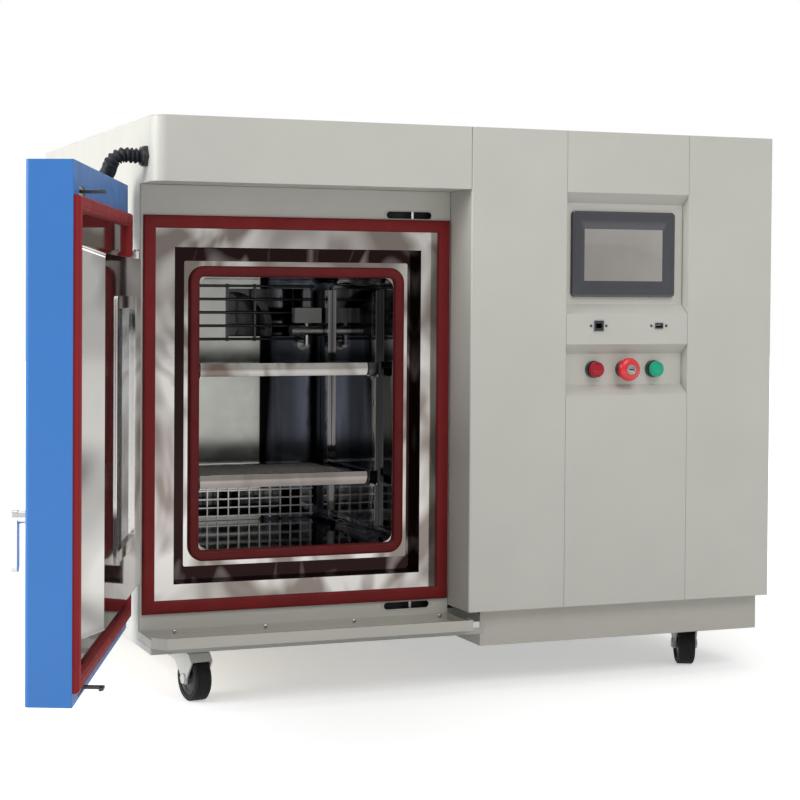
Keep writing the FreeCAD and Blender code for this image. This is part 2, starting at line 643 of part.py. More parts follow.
def uprights():
    """Four slotted channels with the small triangular brackets that carry the shelves."""
    out = []
    for y in (step_y + upright_front, step_y + upright_back):
        for side in (-1, 1):
            wall = work_x0 if side < 0 else work_x1
            x0, x1 = (wall, wall + upright_t) if side < 0 else (wall - upright_t, wall)
            face = x1 if side < 0 else x0
            z0, z1 = work_z0 + upright_foot, work_z1 - upright_foot
            bar = box(x0, x1, y, y + upright_w, z0, z1)
            core = (x0 - 1, x1 - 1.5) if side < 0 else (x0 + 1.5, x1 + 1)
            bar = bar.cut(box(*core, y + 1.5, y + upright_w - 1.5, z0, z1))
            mid = y + upright_w / 2
            slots, z = [], z0 + slot_pitch / 2
            while z + slot_tall < z1:
                slots.append(box(face - 3, face + 3, mid - slot_wide / 2, mid + slot_wide / 2, z, z + slot_tall))
                z += slot_pitch
            bar = drill(bar, slots)
            parts = [bar]
            for top in (shelf_lower, shelf_upper):
                zt = top - shelf_t - 0.3
                tip = face - side * bracket_len
                heel = face + side * 0.2
                web = prism("Y", [(heel, zt), (tip, zt), (tip, zt - 3), (heel, zt - bracket_len)],
                            mid + slot_wide / 2, mid + slot_wide / 2 + bracket_t)
                seat = box(min(heel, tip), max(heel, tip), mid + slot_wide / 2 - 3,
                           mid + slot_wide / 2 + bracket_t, zt - 2, zt)
                parts.append(fuse([web, seat]))
            out.append(fuse(parts))
    return Part.Compound(out)


def shelf(top):
    """Perforated shelf with a bent front strip and an upturned rear stop."""
    x0 = work_x0 + upright_t + shelf_side
    x1 = work_x1 - upright_t - shelf_side
    y0, y1 = step_y + shelf_front, step_y + shelf_front + shelf_len
    plate = box(x0, x1, y0, y1, top - shelf_t, top)
    mx, my = 14.0, 16.0
    px, py = (x1 - x0 - 2 * mx) / hole_cols, (y1 - y0 - 2 * my) / hole_rows
    holes = []
    for i in range(hole_cols):
        for j in range(hole_rows):
            cx, cy = x0 + mx + (i + 0.5) * px, y0 + my + (j + 0.5) * py
            holes.append(prism("Z", [(cx - hole_w / 2, cy), (cx, cy - hole_l / 2), (cx + hole_w / 2, cy),
                                     (cx, cy + hole_l / 2)], top - shelf_t - 1, top + 1))
    plate = drill(plate, holes)
    strip = box(x0, x1, y0, y0 + shelf_t, top - shelf_strip, top)
    hem = box(x0, x1, y0, y0 + 8, top - shelf_strip, top - shelf_strip + shelf_t)
    stop = box(x0, x1, y1 - shelf_t, y1, top - shelf_t, top + 12)
    out = fuse([plate, strip, hem, stop])
    return soften(out, 1.2, lambda e: along("X", e, [(y0, top)]))


def duct_panel():
    """Mirror panel in front of the air duct, with the outlet and return openings."""
    x0, x1, z0, z1 = work_x0 + clear, work_x1 - clear, work_z0 + clear, work_z1 - clear
    out = slab("Y", x0, x1, z0, z1, duct_y, duct_y + liner_t, work_r - clear)
    side = vent_side
    out = drill(out, [slab("Y", outlet_x0, work_x1 - side, outlet_z0, outlet_z1, duct_y - 1, duct_y + 3, 4),
                      slab("Y", work_x0 + side, work_x1 - side, return_z0, return_z1, duct_y - 1, duct_y + 3, 4),
                      rod("Y", sensor_stem_r + clear, sensor_place()[0], duct_y - 1, sensor_place()[1], 4)])
    rib = box(work_x0 + side, work_x1 - side, duct_y + liner_t, duct_y + 8, (outlet_z0 + return_z1) / 2,
              (outlet_z0 + return_z1) / 2 + liner_t)
    return fuse([out, rib])


def guards():
    """Bar guard over the air outlet and square wire grid over the return, wire by wire."""
    x0, x1 = work_x0 + vent_side - 6, work_x1 - vent_side + 6
    low = (outlet_z0 + outlet_z1 - (guard_bars - 1) * guard_pitch) / 2
    lines = [low + i * guard_pitch for i in range(guard_bars)]
    y = duct_y - guard_strap - guard_r / 2
    bars = [rod("X", guard_r, guard_x0, y, z, x1 - guard_x0) for z in lines]
    places = (guard_x0 + 10, outlet_x0 - 2, outlet_x0 + 52, x1 - 4)
    straps = [box(x - guard_strap / 2, x + guard_strap / 2, duct_y - guard_strap, duct_y, lines[0] - 4,
                  lines[-1] + 4) for x in places]
    straps = [drill(strap, bars) for strap in straps]
    wires, g = [], 2 * grid_r
    for i in range(grid_rows + 1):
        z = return_z0 + i * (return_z1 - return_z0 - g) / grid_rows
        wires.append(box(x0, x1, duct_y - 2 * g, duct_y - g, z, z + g))
    for i in range(grid_cols + 1):
        x = x0 + 2 + i * (x1 - x0 - 4 - g) / grid_cols
        wires.append(box(x, x + g, duct_y - g, duct_y, return_z0 - 4, return_z1 + 4))
    return group(*bars, *straps, *wires)


def circulation_fan():
    """Squirrel cage wheel on its long shaft; the shaft runs through the rear insulation."""
    y0 = duct_y + 12
    y1 = y0 + fan_w
    parts = [rod("Y", fan_r, work_cx, y1 - 1.5, fan_z, 1.5),
             pipe("Y", fan_r, fan_r - 14, work_cx, y0, fan_z, 1.5),
             rod("Y", fan_hub_r, work_cx, y1 - 20, fan_z, 20),
             rod("Y", shaft_r, work_cx, y1 - 20, fan_z, insulation_y1 + 22 - y1 + 20)]
    for i in range(blade_count):
        blade = prism("Y", [(fan_r - 13, -6), (fan_r - 2, -1), (fan_r - 2.5, 0.6), (fan_r - 13, -4.2)], y0, y1)
        blade.rotate(V(0, 0, 0), V(0, 1, 0), 360.0 * i / blade_count)
        blade.translate(V(work_cx, 0, fan_z))
        parts.append(blade)
    return fuse(parts)


def fan_motor():
    y0 = insulation_y1
    flange_plate = box(work_cx - 75, work_cx + 75, y0, y0 + 3, fan_z - 75, fan_z + 75)
    nose = rod("Y", 26, work_cx, y0 + 3, fan_z, 10)
    body = rod("Y", motor_r, work_cx, y0 + 13, fan_z, motor_len)
    cap = rod("Y", motor_r - 5, work_cx, y0 + 13 + motor_len, fan_z, 14)
    ribs = []
    for i in range(12):
        rib = box(motor_r - 1, motor_r + 5, y0 + 25, y0 + motor_len, -1.5, 1.5)
        rib.rotate(V(0, 0, 0), V(0, 1, 0), 30.0 * i + 15)
        rib.translate(V(work_cx, 0, fan_z))
        ribs.append(rib)
    out = fuse([flange_plate, nose, body, cap] + ribs)
    return out.cut(rod("Y", shaft_r + fit, work_cx, y0 - 1, fan_z, 24))


def evaporator():
    """Finned coil in the duct with its return bends at the left."""
    x0, x1 = work_x0 + 24, work_x1 - 30
    pipe_y = (duct_y + liner_y1) / 2
    z0, z1 = coil_z0, coil_z1
    pitch = (x1 - x0) / fin_count
    fins = [box(x0 + i * pitch, x0 + i * pitch + 2.0, pipe_y - 26, pipe_y + 26, z0, z1) for i in range(fin_count)]
    feet = [box(x0, x1, y, y + 2, z0 - 2, z0) for y in (pipe_y - 26, pipe_y + 24)]
    lines = coil_lines()
    pipes = [rod("X", 5, x0 - 8, pipe_y, z, x1 + 20 - x0 + 8) for z in lines]
    bend = tube([V(x0 - 8, pipe_y, lines[0]), V(x0 - 13, pipe_y, lines[0]), V(x0 - 13, pipe_y, lines[1]),
                 V(x0 - 8, pipe_y, lines[1])], [4.9, 4.9], 4.8)
    hangers = [box(x, x + 2, pipe_y - 26, liner_y1, z1 - 12, z1) for x in (x0, x0 + (fin_count - 1) * pitch)]
    return fuse(fins + feet + pipes + [bend] + hangers)


def heater():
    """Sheathed heating element bent back and forth across the duct."""
    pipe_y = (duct_y + liner_y1) / 2
    x0, x1 = work_x0 + 30, work_x1 - 34
    end = work_x1 + 30
    pts, z = [V(end, pipe_y, heater_z)], heater_z
    for i in range(heater_rows):
        x = x0 if i % 2 == 0 else x1
        if i == heater_rows - 1:
            break
        pts += [V(x, pipe_y, z), V(x, pipe_y, z + heater_pitch)]
        z += heater_pitch
    pts.append(V(end, pipe_y, z))
    out = tube(pts, [heater_pitch / 2 - 0.2] * (len(pts) - 2), heater_r)
    flange_box = box(recess_x, recess_x + 26, pipe_y - 20, pipe_y + 20, heater_z - 18, z + 18)
    leads = [rod("X", heater_r, end - 1, pipe_y, zz, recess_x - end + 1) for zz in (heater_z, z)]
    rest = box(x0 + 40, x0 + 42, pipe_y - 8, liner_y1, z + heater_r + clear, z + heater_r + clear + 8)
    foot = box(x0 + 40, x0 + 42, pipe_y - 8, pipe_y - heater_r - clear, heater_z - 8, z + heater_r + clear + 8)
    return Part.Compound([fuse([out] + leads + [flange_box]), fuse([rest, foot])])


def sensor_place():
    return work_x1 - 39.0, outlet_z0 - 16


def sensor():
    """Thick probe under its square housing, on a bent stem from the duct panel."""
    x, z = sensor_place()
    y, x1 = duct_y - 26, work_x1 - 8
    stem = rod("Y", sensor_stem_r, x, y, z, 26 + liner_t + 8)
    collar = rod("Y", sensor_stem_r + 4, x, duct_y - 3, z, 3)
    rise = rod("Z", sensor_stem_r, x, y, z, sensor_z - z)
    probe = rod("X", sensor_r, x1 - sensor_len, y, sensor_z, sensor_len)
    neck = rod("Z", 4, x, y, sensor_z, 16)
    housing = box(x1 - sensor_len + 6, x1 - 4, y - 8, y + 8, sensor_z + 15, sensor_z + 43)
    return fuse([stem, collar, rise, probe, neck, housing])


def cable_sleeve():
    """Sleeve of the cable port, through the left wall into the workspace."""
    x1 = work_x0 + 4
    body = pipe("X", port_r + port_wall, port_r, -3, port_y, port_z, x1 + 3)
    rim = pipe("X", port_r + port_flange, port_r, -3, port_y, port_z, 3)
    return fuse([body, rim])


def display():
    y0, y1 = recess_in - hmi_proud, recess_in
    bezel = slab("Y", hmi_x - hmi_w / 2, hmi_x + hmi_w / 2, hmi_z - hmi_h / 2, hmi_z + hmi_h / 2, y0, y1, 5)
    front = [e for e in bezel.Edges if abs(e.BoundBox.YMin - y0) < 0.01 and abs(e.BoundBox.YMax - y0) < 0.01]
    bezel = bezel.makeFillet(2.0, front)
    well = slab("Y", *screen_rect(), y0 - 1, y0 + 1.5, 1)
    body = box(hmi_x - hmi_body_w / 2, hmi_x + hmi_body_w / 2, y1, y1 + hmi_body_d, hmi_z - hmi_body_h / 2,
               hmi_z + hmi_body_h / 2)
    clips = [box(hmi_x + s * hmi_body_w / 2 - 6, hmi_x + s * hmi_body_w / 2 + 6, y1 + sheet + 0.2, y1 + 12,
                 hmi_z - 10, hmi_z + 10) for s in (-1, 1)]
    return fuse([bezel, body] + clips).cut(well)


def screen_rect():
    return (hmi_x - screen_w / 2, hmi_x + screen_w / 2, screen_z - screen_h / 2, screen_z + screen_h / 2)


def screen():
    y0 = recess_in - hmi_proud
    return slab("Y", *grow(screen_rect(), -0.1), y0 + 0.3, y0 + 1.5, 1)


def data_ports():
    """Network socket and USB socket, each open to the front."""
    out = []
    for x, w, h, jw, jh, jd in ((net_x, net_w, net_h, jack_w, jack_h, jack_d),
                                (usb_x, usb_w, usb_h, bus_w, bus_h, bus_d)):
        face = box(x - w / 2, x + w / 2, -1.2, 0, port_line - h / 2, port_line + h / 2)
        body = box(x - w / 2 + 1.4, x + w / 2 - 1.4, 0, jd + 4, port_line - h / 2 + 1.4, port_line + h / 2 - 1.4)
        hole = box(x - jw / 2, x + jw / 2, -2, jd, port_line - jh / 2, port_line + jh / 2)
        out.append(fuse([face, body]).cut(hole))
    return Part.Compound(out)


def collars():
    """Black collars of the three push buttons, with their contact blocks behind the panel."""
    out = []
    for i, x in enumerate(button_x):
        y0 = recess_in - collar_t
        collar = rod("Y", button_r, x, y0, button_z, collar_t)
        rim = [e for e in collar.Edges if abs(e.BoundBox.YMax - y0) < 0.01]
        collar = collar.makeFillet(1.2, rim)
        stem = rod("Y", stem_r, x, recess_in, button_z, 22)
        nut = hexagon("Y", 30, x, button_z, recess_in + sheet + 0.1, recess_in + sheet + 6)
        block = box(x - 14, x + 14, recess_in + 22, recess_in + 52, button_z - 14, button_z + 14)
        body = fuse([collar, stem, nut, block])
        bore = rod("Y", button_stem + fit, x, y0 - 1, button_z, collar_t + 16)
        out.append(body.cut(bore))
    return Part.Compound(out)


def lens_button(i):
    """Round illuminated button with a slightly domed lens."""
    x = button_x[i]
    y0 = recess_in - collar_t
    travel_gap = lens_travel + clear
    stem = rod("Y", button_stem, x, y0 - travel_gap, button_z, travel_gap + 14 - lens_travel)
    lens = rod("Y", lens_r, x, y0 - travel_gap - lens_proud, button_z, lens_proud)
    rim = [e for e in lens.Edges if e.BoundBox.YMax < y0 - travel_gap - lens_proud + 0.01]
    return fuse([lens.makeFillet(2.4, rim), stem])


def stop_button():
    """Mushroom head of the emergency stop, with its key in the middle."""
    x, y0 = button_x[1], recess_in - collar_t
    g = stop_travel + clear
    yf = y0 - g - stop_proud
    profile = [V(0, 0, 0), V(stop_r - 5, 0, 0)]
    edges = [Part.LineSegment(profile[0], profile[1]).toShape(),
             Part.Arc(V(stop_r - 5, 0, 0), V(stop_r - 1.2, 2.6, 0), V(stop_r, 6.5, 0)).toShape(),
             Part.LineSegment(V(stop_r, 6.5, 0), V(stop_r - 1.5, 9.5, 0)).toShape(),
             Part.LineSegment(V(stop_r - 1.5, 9.5, 0), V(11, stop_proud, 0)).toShape(),
             Part.LineSegment(V(11, stop_proud, 0), V(0, stop_proud, 0)).toShape(),
             Part.LineSegment(V(0, stop_proud, 0), V(0, 0, 0)).toShape()]
    head = Part.Face(Part.Wire(edges)).revolve(V(0, 0, 0), V(0, 1, 0), 360)
    head.translate(V(x, yf, button_z))
    key = [rod("Y", 4.4, x, yf - 1.5, button_z, 3), box(x - 1.2, x + 1.2, yf - 3.0, yf, button_z - 3.6, button_z + 3.6)]
    stem = rod("Y", button_stem, x, yf + stop_proud, button_z, g + 14 - stop_travel)
    return fuse([head, stem] + key)


def tray():
    """Drip tray under the door: back flange, floor, raised lip and cut left corner."""
    x1 = recess_x - seam
    y0, y1 = -tray_out, recess_y
    plan = [(0, y1), (x1, y1), (x1, y0), (tray_cut, y0), (0, y0 + tray_cut)]
    t = sheet
    k = t * math.tan(math.radians(22.5))
    inner = [(t, y1 - t), (x1 - t, y1 - t), (x1 - t, y0 + t), (tray_cut + k, y0 + t), (t, y0 + tray_cut + k)]
    outer = prism("Z", plan, tray_floor, tray_lip)
    bowl = prism("Z", inner, tray_floor + t, tray_lip + 1)
    out = outer.cut(bowl)
    out = out.cut(box(-1, x1 + 1, y1 - t, y1 + 1, tray_back, tray_lip + 1))
    wedge = prism("X", [(0.5, tray_back), (0.5, tray_lip + 1), (y1 + 1, tray_lip + 1), (y1 + 1, tray_back)], -1, x1 + 1)
    return out.cut(wedge)


def hinge_cabinet():
    """Cabinet leaf, middle knuckle and pin of each hinge."""
    out = []
    for z in (hinge_low, hinge_high):
        h, m = hinge_h / 2, hinge_mid / 2
        leaf = box(-leaf_t, 0, hinge_y + knuckle_r + 1, hinge_y + leaf_back, z - h, z + h)
        web = box(-leaf_t, 0, hinge_y, hinge_y + knuckle_r + 1, z - m, z + m)
        knuckle = rod("Z", knuckle_r, hinge_x, hinge_y, z - m, hinge_mid)
        pin = rod("Z", pin_r, hinge_x, hinge_y, z - h - 2, hinge_h + 4)
        head = [rod("Z", pin_r + 1.5, hinge_x, hinge_y, z + h + clear, 2)]
        out.append(fuse([leaf, web, knuckle, pin] + head))
    return Part.Compound(out)


def hinge_door():
    """Door leaf with the outer knuckles of each hinge."""
    out = []
    for z in (hinge_low, hinge_high):
        h, m = hinge_h / 2, hinge_mid / 2
        leaf = box(-leaf_t, 0, hinge_y - knuckle_r - 1 - leaf_front, hinge_y - knuckle_r - 1, z - h, z + h)
        parts = [leaf]
        for z0, z1 in ((z - h, z - m - clear), (z + m + clear, z + h)):
            parts.append(rod("Z", knuckle_r, hinge_x, hinge_y, z0, z1 - z0))
            parts.append(box(-leaf_t, -leaf_t + 2.0, hinge_y - knuckle_r - 1.5, hinge_y, z0, z1))
        out.append(fuse(parts).cut(rod("Z", pin_r + fit, hinge_x, hinge_y, z - h - 1, hinge_h + 2)))
    return out


def escutcheon():
    y1 = door_y0
    plate = slab("Y", handle_x - plate_w / 2, handle_x + plate_w / 2, handle_z - plate_h / 2,
                 handle_z + plate_h / 2, y1 - plate_d, y1, 8)
    return plate.cut(rod("Y", spindle_r + fit, handle_x, y1 - plate_d - 1, handle_z, plate_d + 2))


def window_rect():
    return (win_x0, win_x1, win_z0, win_z1)


def face_opening():
    """Opening in the door's painted inner flange, under the gasket."""
    return (seal_x0 + flange_in, door_x1 - flange_in, seal_z0 + flange_in, seal_z1 - flange_in)


def claw_slots(lo, hi, r=2.0):
    """Slots for the latch's claws through the inner flange."""
    return [slab("Y", bar_x - 6, bar_x + claw_w + latch_travel + 6, z - 6, z + 6, lo, hi, r)
            for z in (slot_z_low, slot_z_high)]


def door_shell():
    """Painted outer pan of the door with its inner flange, the window and spindle openings."""
    outer = box(0, door_x1, door_y0, door_y1, door_z0, door_z1)
    corners = [(0, door_y0), (door_x1, door_y0)]
    outer = soften(outer, door_edge_r, lambda e: along("Z", e, corners))
    t = sheet
    inner = box(t, door_x1 - t, door_y0 + t, door_y1 - t, door_z0 + t, door_z1 - t)
    inner = soften(inner, door_edge_r - t, lambda e: along("Z", e, [(t, door_y0 + t), (door_x1 - t, door_y0 + t)]))
    out = outer.cut(inner)
    return drill(out, [slab("Y", *grow(window_rect(), win_wall + 0.3), door_y0 - 1, door_y0 + 5, 4),
                       rod("Y", spindle_r + 1, handle_x, door_y0 - 1, handle_z, 5),
                       slab("Y", *face_opening(), door_y1 - 5, door_y1 + 1, 3)] + claw_slots(door_y1 - 3, door_y1 + 3))


def door_core():
    """Foam core of the door and its plug, with the channels for the latch."""
    t, c = sheet, 0.3
    core = box(t + c, door_x1 - t - c, door_y0 + t + c, door_y1 - t - c, door_z0 + t + c, door_z1 - t - c)
    core = soften(core, door_edge_r, lambda e: along("Z", e, [(t + c, door_y0 + t + c),
                                                              (door_x1 - t - c, door_y0 + t + c)]))
    p1, p2 = plug_rects()
    s = liner_t + c
    core = fuse([core, slab("Y", *grow(p1, -s), door_y1 - 5, door_y1 - s, plug_r - s),
                 frustum(grow(p1, -s), grow(p2, -s), door_y1 - s, plug_y - s, plug_r - s)])
    y0, y1 = bar_y - clear, bar_y + bar_t + clear
    xb0, xb1 = bar_x - 1, bar_x + max(bar_w, hook_w) + latch_travel + 1
    z_lo, z_hi = slot_z_low - hook_t / 2 - 1, slot_z_high + hook_t / 2 + 1
    cuts = [slab("Y", *grow(window_rect(), win_wall + 0.3), 0, plug_y + 5, 4),
            rod("Y", spindle_r + 1, handle_x, 0, handle_z, bar_y),
            box(xb0, xb1, y0, y1, z_lo, z_hi),
            box(bar_x - 1, handle_x + 24, bar_y - 9, bar_y + bar_t + 6, handle_z - 16, handle_z + 24)]
    for z in (slot_z_low, slot_z_high):
        cuts.append(box(xb0, bar_x + claw_w + latch_travel + 1, y0, door_y1 + 1, z - hook_t / 2 - 1,
                        z + hook_t / 2 + 1))
    return drill(core, cuts)


def plug_rects():
    """The plug at the door's inner face and at its front."""
    first = grow((throat_x0, throat_x1, throat_z0, throat_z1), -plug_gap)
    return first, grow(first, -plug_inset)


def frustum(base, top, lo, hi, r):
    """A block with rounded corners whose sides slope from one rectangle to another."""
    wires = [slab("Y", *rect, at, at + 1, r).Faces for rect, at in ((base, lo), (top, hi))]
    ends = [next(f for f in faces if f.BoundBox.YLength < 0.01 and abs(f.BoundBox.YMin - at) < 0.01)
            for faces, at in zip(wires, (lo, hi))]
    return Part.makeLoft([f.OuterWire for f in ends], True, True)


def door_liner():
    """Stainless inner plate of the door, drawn out into the plug with its sloping sides."""
    t = liner_t
    p1, p2 = plug_rects()
    plate = slab("Y", *grow(face_opening(), -0.3), door_y1 - t, door_y1, 2.7)
    plug = frustum(p1, p2, door_y1, plug_y, plug_r)
    hollow = frustum(grow(p1, -t), grow(p2, -t), door_y1 - t, plug_y - t, plug_r - t)
    out = fuse([plate, plug]).cut(fuse([hollow, slab("Y", *grow(p1, -t), door_y1 - t - 1, door_y1 - t, plug_r - t)]))
    return drill(out, [slab("Y", *grow(window_rect(), win_wall + 0.3), plug_y - 5, plug_y + 5, 4)])


def door_gasket():
    outer = (seal_x0 - 1.5, door_x1 - 2, seal_z0, seal_z1)
    return ring("Y", outer, grow(outer, -gasket_w), door_y1, door_y1 + door_gasket_t, 3, 1)


def window_frame():
    """Window tunnel with its outer bezel, and the inner trim that clamps it."""
    rect = window_rect()
    y0, y1 = door_y0 - 2.0, plug_y
    tunnel = ring("Y", grow(rect, win_wall), rect, y0, y1, 3.7, 2)
    bezel = ring("Y", grow(rect, win_trim), rect, y0, door_y0, 8, 2)
    ledge = [ring("Y", rect, grow(rect, -3), y, y + 2.0, 2, 1) for y in pane_seats()]
    trim = ring("Y", grow(rect, win_trim), rect, y1, y1 + 2.5, 8, 2)
    return Part.Compound([fuse([tunnel, bezel] + ledge), trim])


def pane_seats():
    span = plug_y - door_y0
    return [door_y0 + 7.0, door_y0 + span / 2, plug_y - 8.0]


def window_glass():
    rect = grow(window_rect(), -0.2)
    return Part.Compound([slab("Y", *rect, y + 2.0, y + 2.0 + pane_t, 1.8) for y in pane_seats()])


def handle():
    """Lever handle with its spindle, crank disc and crank pin."""
    y_plate = door_y0 - plate_d
    y1 = y_plate - lever_gap
    grip = slab("Y", handle_x - lever_w / 2, handle_x + lever_w / 2, handle_z - lever_len,
                handle_z + lever_w / 2, y1 - lever_t, y1, lever_w / 2 - 0.5)
    front = [e for e in grip.Edges if abs(e.BoundBox.YMin - (y1 - lever_t)) < 0.01
             and abs(e.BoundBox.YMax - (y1 - lever_t)) < 0.01]
    grip = grip.makeFillet(2.5, front)
    boss = rod("Y", lever_w / 2 - 1, handle_x, y1, handle_z, lever_gap - clear)
    spindle = rod("Y", spindle_r, handle_x, y1, handle_z, bar_y - 4 - y1)
    disc = rod("Y", crank_r + crank_pin_r + 1, handle_x, bar_y - 5, handle_z, 4)
    off = latch_travel / 2
    pin = rod("Y", crank_pin_r, handle_x - off, bar_y - 2, handle_z + off, bar_t + 4)
    return fuse([grip, boss, spindle, disc, pin])


def latch_bar():
    """Sliding bar with a hook at each end and the yoke that the crank pin drives."""
    z_lo, z_hi = slot_z_low - hook_t / 2, slot_z_high + hook_t / 2
    bar = box(bar_x, bar_x + bar_w, bar_y, bar_y + bar_t, z_lo, z_hi)
    off, play = latch_travel / 2, 0.7
    pin_x = handle_x - off
    yoke = box(bar_x, pin_x + 9, bar_y, bar_y + bar_t, handle_z + off - 9, handle_z + crank_r + 9)
    slot = slab("Y", pin_x - crank_pin_r - play, pin_x + crank_pin_r + play, handle_z + off - crank_pin_r - play,
                handle_z + crank_r + crank_pin_r + play, bar_y - 1, bar_y + bar_t + 1, crank_pin_r)
    parts = [bar, yoke]
    tip = strike_y() + strike_r + clear
    for z in (slot_z_low, slot_z_high):
        z0, z1 = z - hook_t / 2, z + hook_t / 2
        parts.append(box(hook_x, hook_x + hook_w, bar_y, tip + claw_d, z0, z1))
        claw = prism("Z", [(hook_x, tip), (hook_x + claw_w, tip), (hook_x + claw_w, tip + claw_d - 2.5),
                           (hook_x + claw_w - 4, tip + claw_d), (hook_x, tip + claw_d)], z0, z1)
        parts.append(claw)
    return fuse(parts).cut(slot)


def strike_y():
    return recess_y + sheet + strike_r + 0.5


def elbow_gland():
    """Elbow gland on the hinge edge of the door, its mouth facing up."""
    y = door_y0 + door_t / 2
    x = -24.0
    nut = hexagon("X", 30, y, gland_z, -6, 0)
    arm = rod("X", 11, x, y, gland_z, -x)
    ball = Part.makeSphere(13, V(x, y, gland_z))
    mouth = rod("Z", 14, x, y, gland_z, gland_mouth() - gland_z)
    ring_nut = rod("Z", 15.5, x, y, gland_z + 8, 8)
    return fuse([nut, arm, ball, mouth, ring_nut])


def gland_mouth():
    return gland_z + 22.0


def side_gland():
    """Straight gland on the cabinet's side, above the door hinge."""
    nut = hexagon("X", 32, gland_y, gland_top, -6, 0)
    body = rod("X", 15, -10, gland_y, gland_top, 10)
    shank = rod("X", hose_r + 0.5, 0, gland_y, gland_top, sheet)
    lock = hexagon("X", 30, gland_y, gland_top, sheet, sheet + 5)
    return fuse([nut, body, shank, lock])


def hose_points():
    end = swing(Part.Vertex(V(-24.0, door_y0 + door_t / 2, gland_mouth()))).Point
    return [V(-10, gland_y, gland_top), V(-31, gland_y, gland_top), V(-60, 46, gland_top - hose_sag),
            V(end.x, end.y, gland_top - hose_sag - 1.5), end]


def hose():
    """Corrugated conduit that carries the door's wiring, drawn as its outer tube."""
    return tube(hose_points(), [30.0, 26.0, 30.0], hose_r)


def compressor():
    z0 = floor_top + 12
    body = rod("Z", comp_r, comp_x, comp_y, z0, comp_h)
    rims = [e for e in body.Edges if len(e.Vertexes) == 1]
    body = body.makeFillet(24, rims)
    bottle = rod("Z", 26, comp_x + comp_r + 34, comp_y, z0 + 30, 130)
    ends = [e for e in bottle.Edges if len(e.Vertexes) == 1]
    bottle = bottle.makeFillet(12, ends)
    strap = box(comp_x + comp_r - 20, comp_x + comp_r + 20, comp_y - 4, comp_y + 4, z0 + 90, z0 + 96)
    suction = box(comp_x + comp_r - 20, comp_x + comp_r + 20, comp_y - 4, comp_y + 4, z0 + 46, z0 + 54)
    feet = prism("Z", [(comp_x - 80, comp_y - 46), (comp_x + 80, comp_y - 46), (comp_x, comp_y + 92)],
                 z0, z0 + 4)
    pads = [rod("Z", 11, x, y, z0 - 12, 12) for x, y in ((comp_x - 60, comp_y - 36), (comp_x + 60, comp_y - 36),
                                                         (comp_x, comp_y + 66))]
    box_top = box(comp_x - 22, comp_x + 22, comp_y - comp_r - 6, comp_y - comp_r + 20, z0 + 110, z0 + 150)
    return fuse([body, bottle, strap, suction, feet, box_top] + pads)


def machine_floor():
    """Folded floor under the refrigeration set, resting on the base frame."""
    z0 = frame_top
    x0, x1 = skirt_x0, skirt_x1 - sheet
    y0, y1 = skirt_y + sheet, depth - skirt_y - sheet
    floor = box(x0, x1, y0, y1, z0, z0 + sheet)
    edge = [box(x0, x1 - 12, y1 - sheet, y1, z0, z0 + 15), box(x0, x0 + sheet, y0 + flange, y1, z0, z0 + 15)]
    return fuse([floor] + edge)


def condenser():
    """Finned condenser with its shroud and fan motor, facing the side louvres."""
    y0, y1, z0, z1 = coil_y0, coil_y1, coil_b, coil_t
    pitch = (y1 - y0) / 14
    fins = [box(coil_x0, coil_x1, y0 + i * pitch, y0 + i * pitch + 2, z0, z1) for i in range(15)]
    rows = [rod("Y", 5, (coil_x0 + coil_x1) / 2, y0 - 6, z0 + 30 + i * 60, y1 - y0 + 14) for i in range(5)]
    foot = [box(coil_x0, coil_x1, y0, y1 + 2, floor_top, floor_top + 2),
            box(coil_x0, coil_x1, y0, y0 + 2, floor_top, z0), box(coil_x0, coil_x1, y1, y1 + 2, floor_top, z0)]
    coil = fuse(fins + rows + foot)
    my, mz, r = (y0 + y1) / 2, (z0 + z1) / 2, 128.0
    x0 = coil_x0 - 50
    shell = box(x0, coil_x0, y0, y1, z0, z1).cut(box(x0 + sheet, coil_x0 + 1, y0 + sheet, y1 - sheet,
                                                     z0 + sheet, z1 - sheet))
    shell = shell.cut(rod("X", r, x0 - 1, my, mz, 5))
    arms = [box(x0 - 2, x0, my - 8, my + 8, mz - r - 8, mz + r + 8)]
    motor = rod("X", 34, x0 - 52, my, mz, 50)
    shroud = fuse([shell, motor] + arms)
    shroud = shroud.cut(rod("X", 4 + fit, x0 - 20, my, mz, 22))
    return Part.Compound([coil, shroud])


def condenser_fan():
    my, mz = (coil_y0 + coil_y1) / 2, (coil_b + coil_t) / 2
    x0 = coil_x0 - 50
    hub = rod("X", 26, x0 + 6, my, mz, 26)
    shaft = rod("X", 4, x0 - 18, my, mz, 26)
    blades = []
    for i in range(5):
        b = Part.makeBox(2.0, 44, 96, V(-1, -22, 22))
        b.rotate(V(0, 0, 60), V(0, 0, 1), 28)
        b.rotate(V(0, 0, 0), V(1, 0, 0), 72.0 * i)
        b.translate(V(x0 + 19, my, mz))
        blades.append(b)
    return fuse([hub, shaft] + blades)


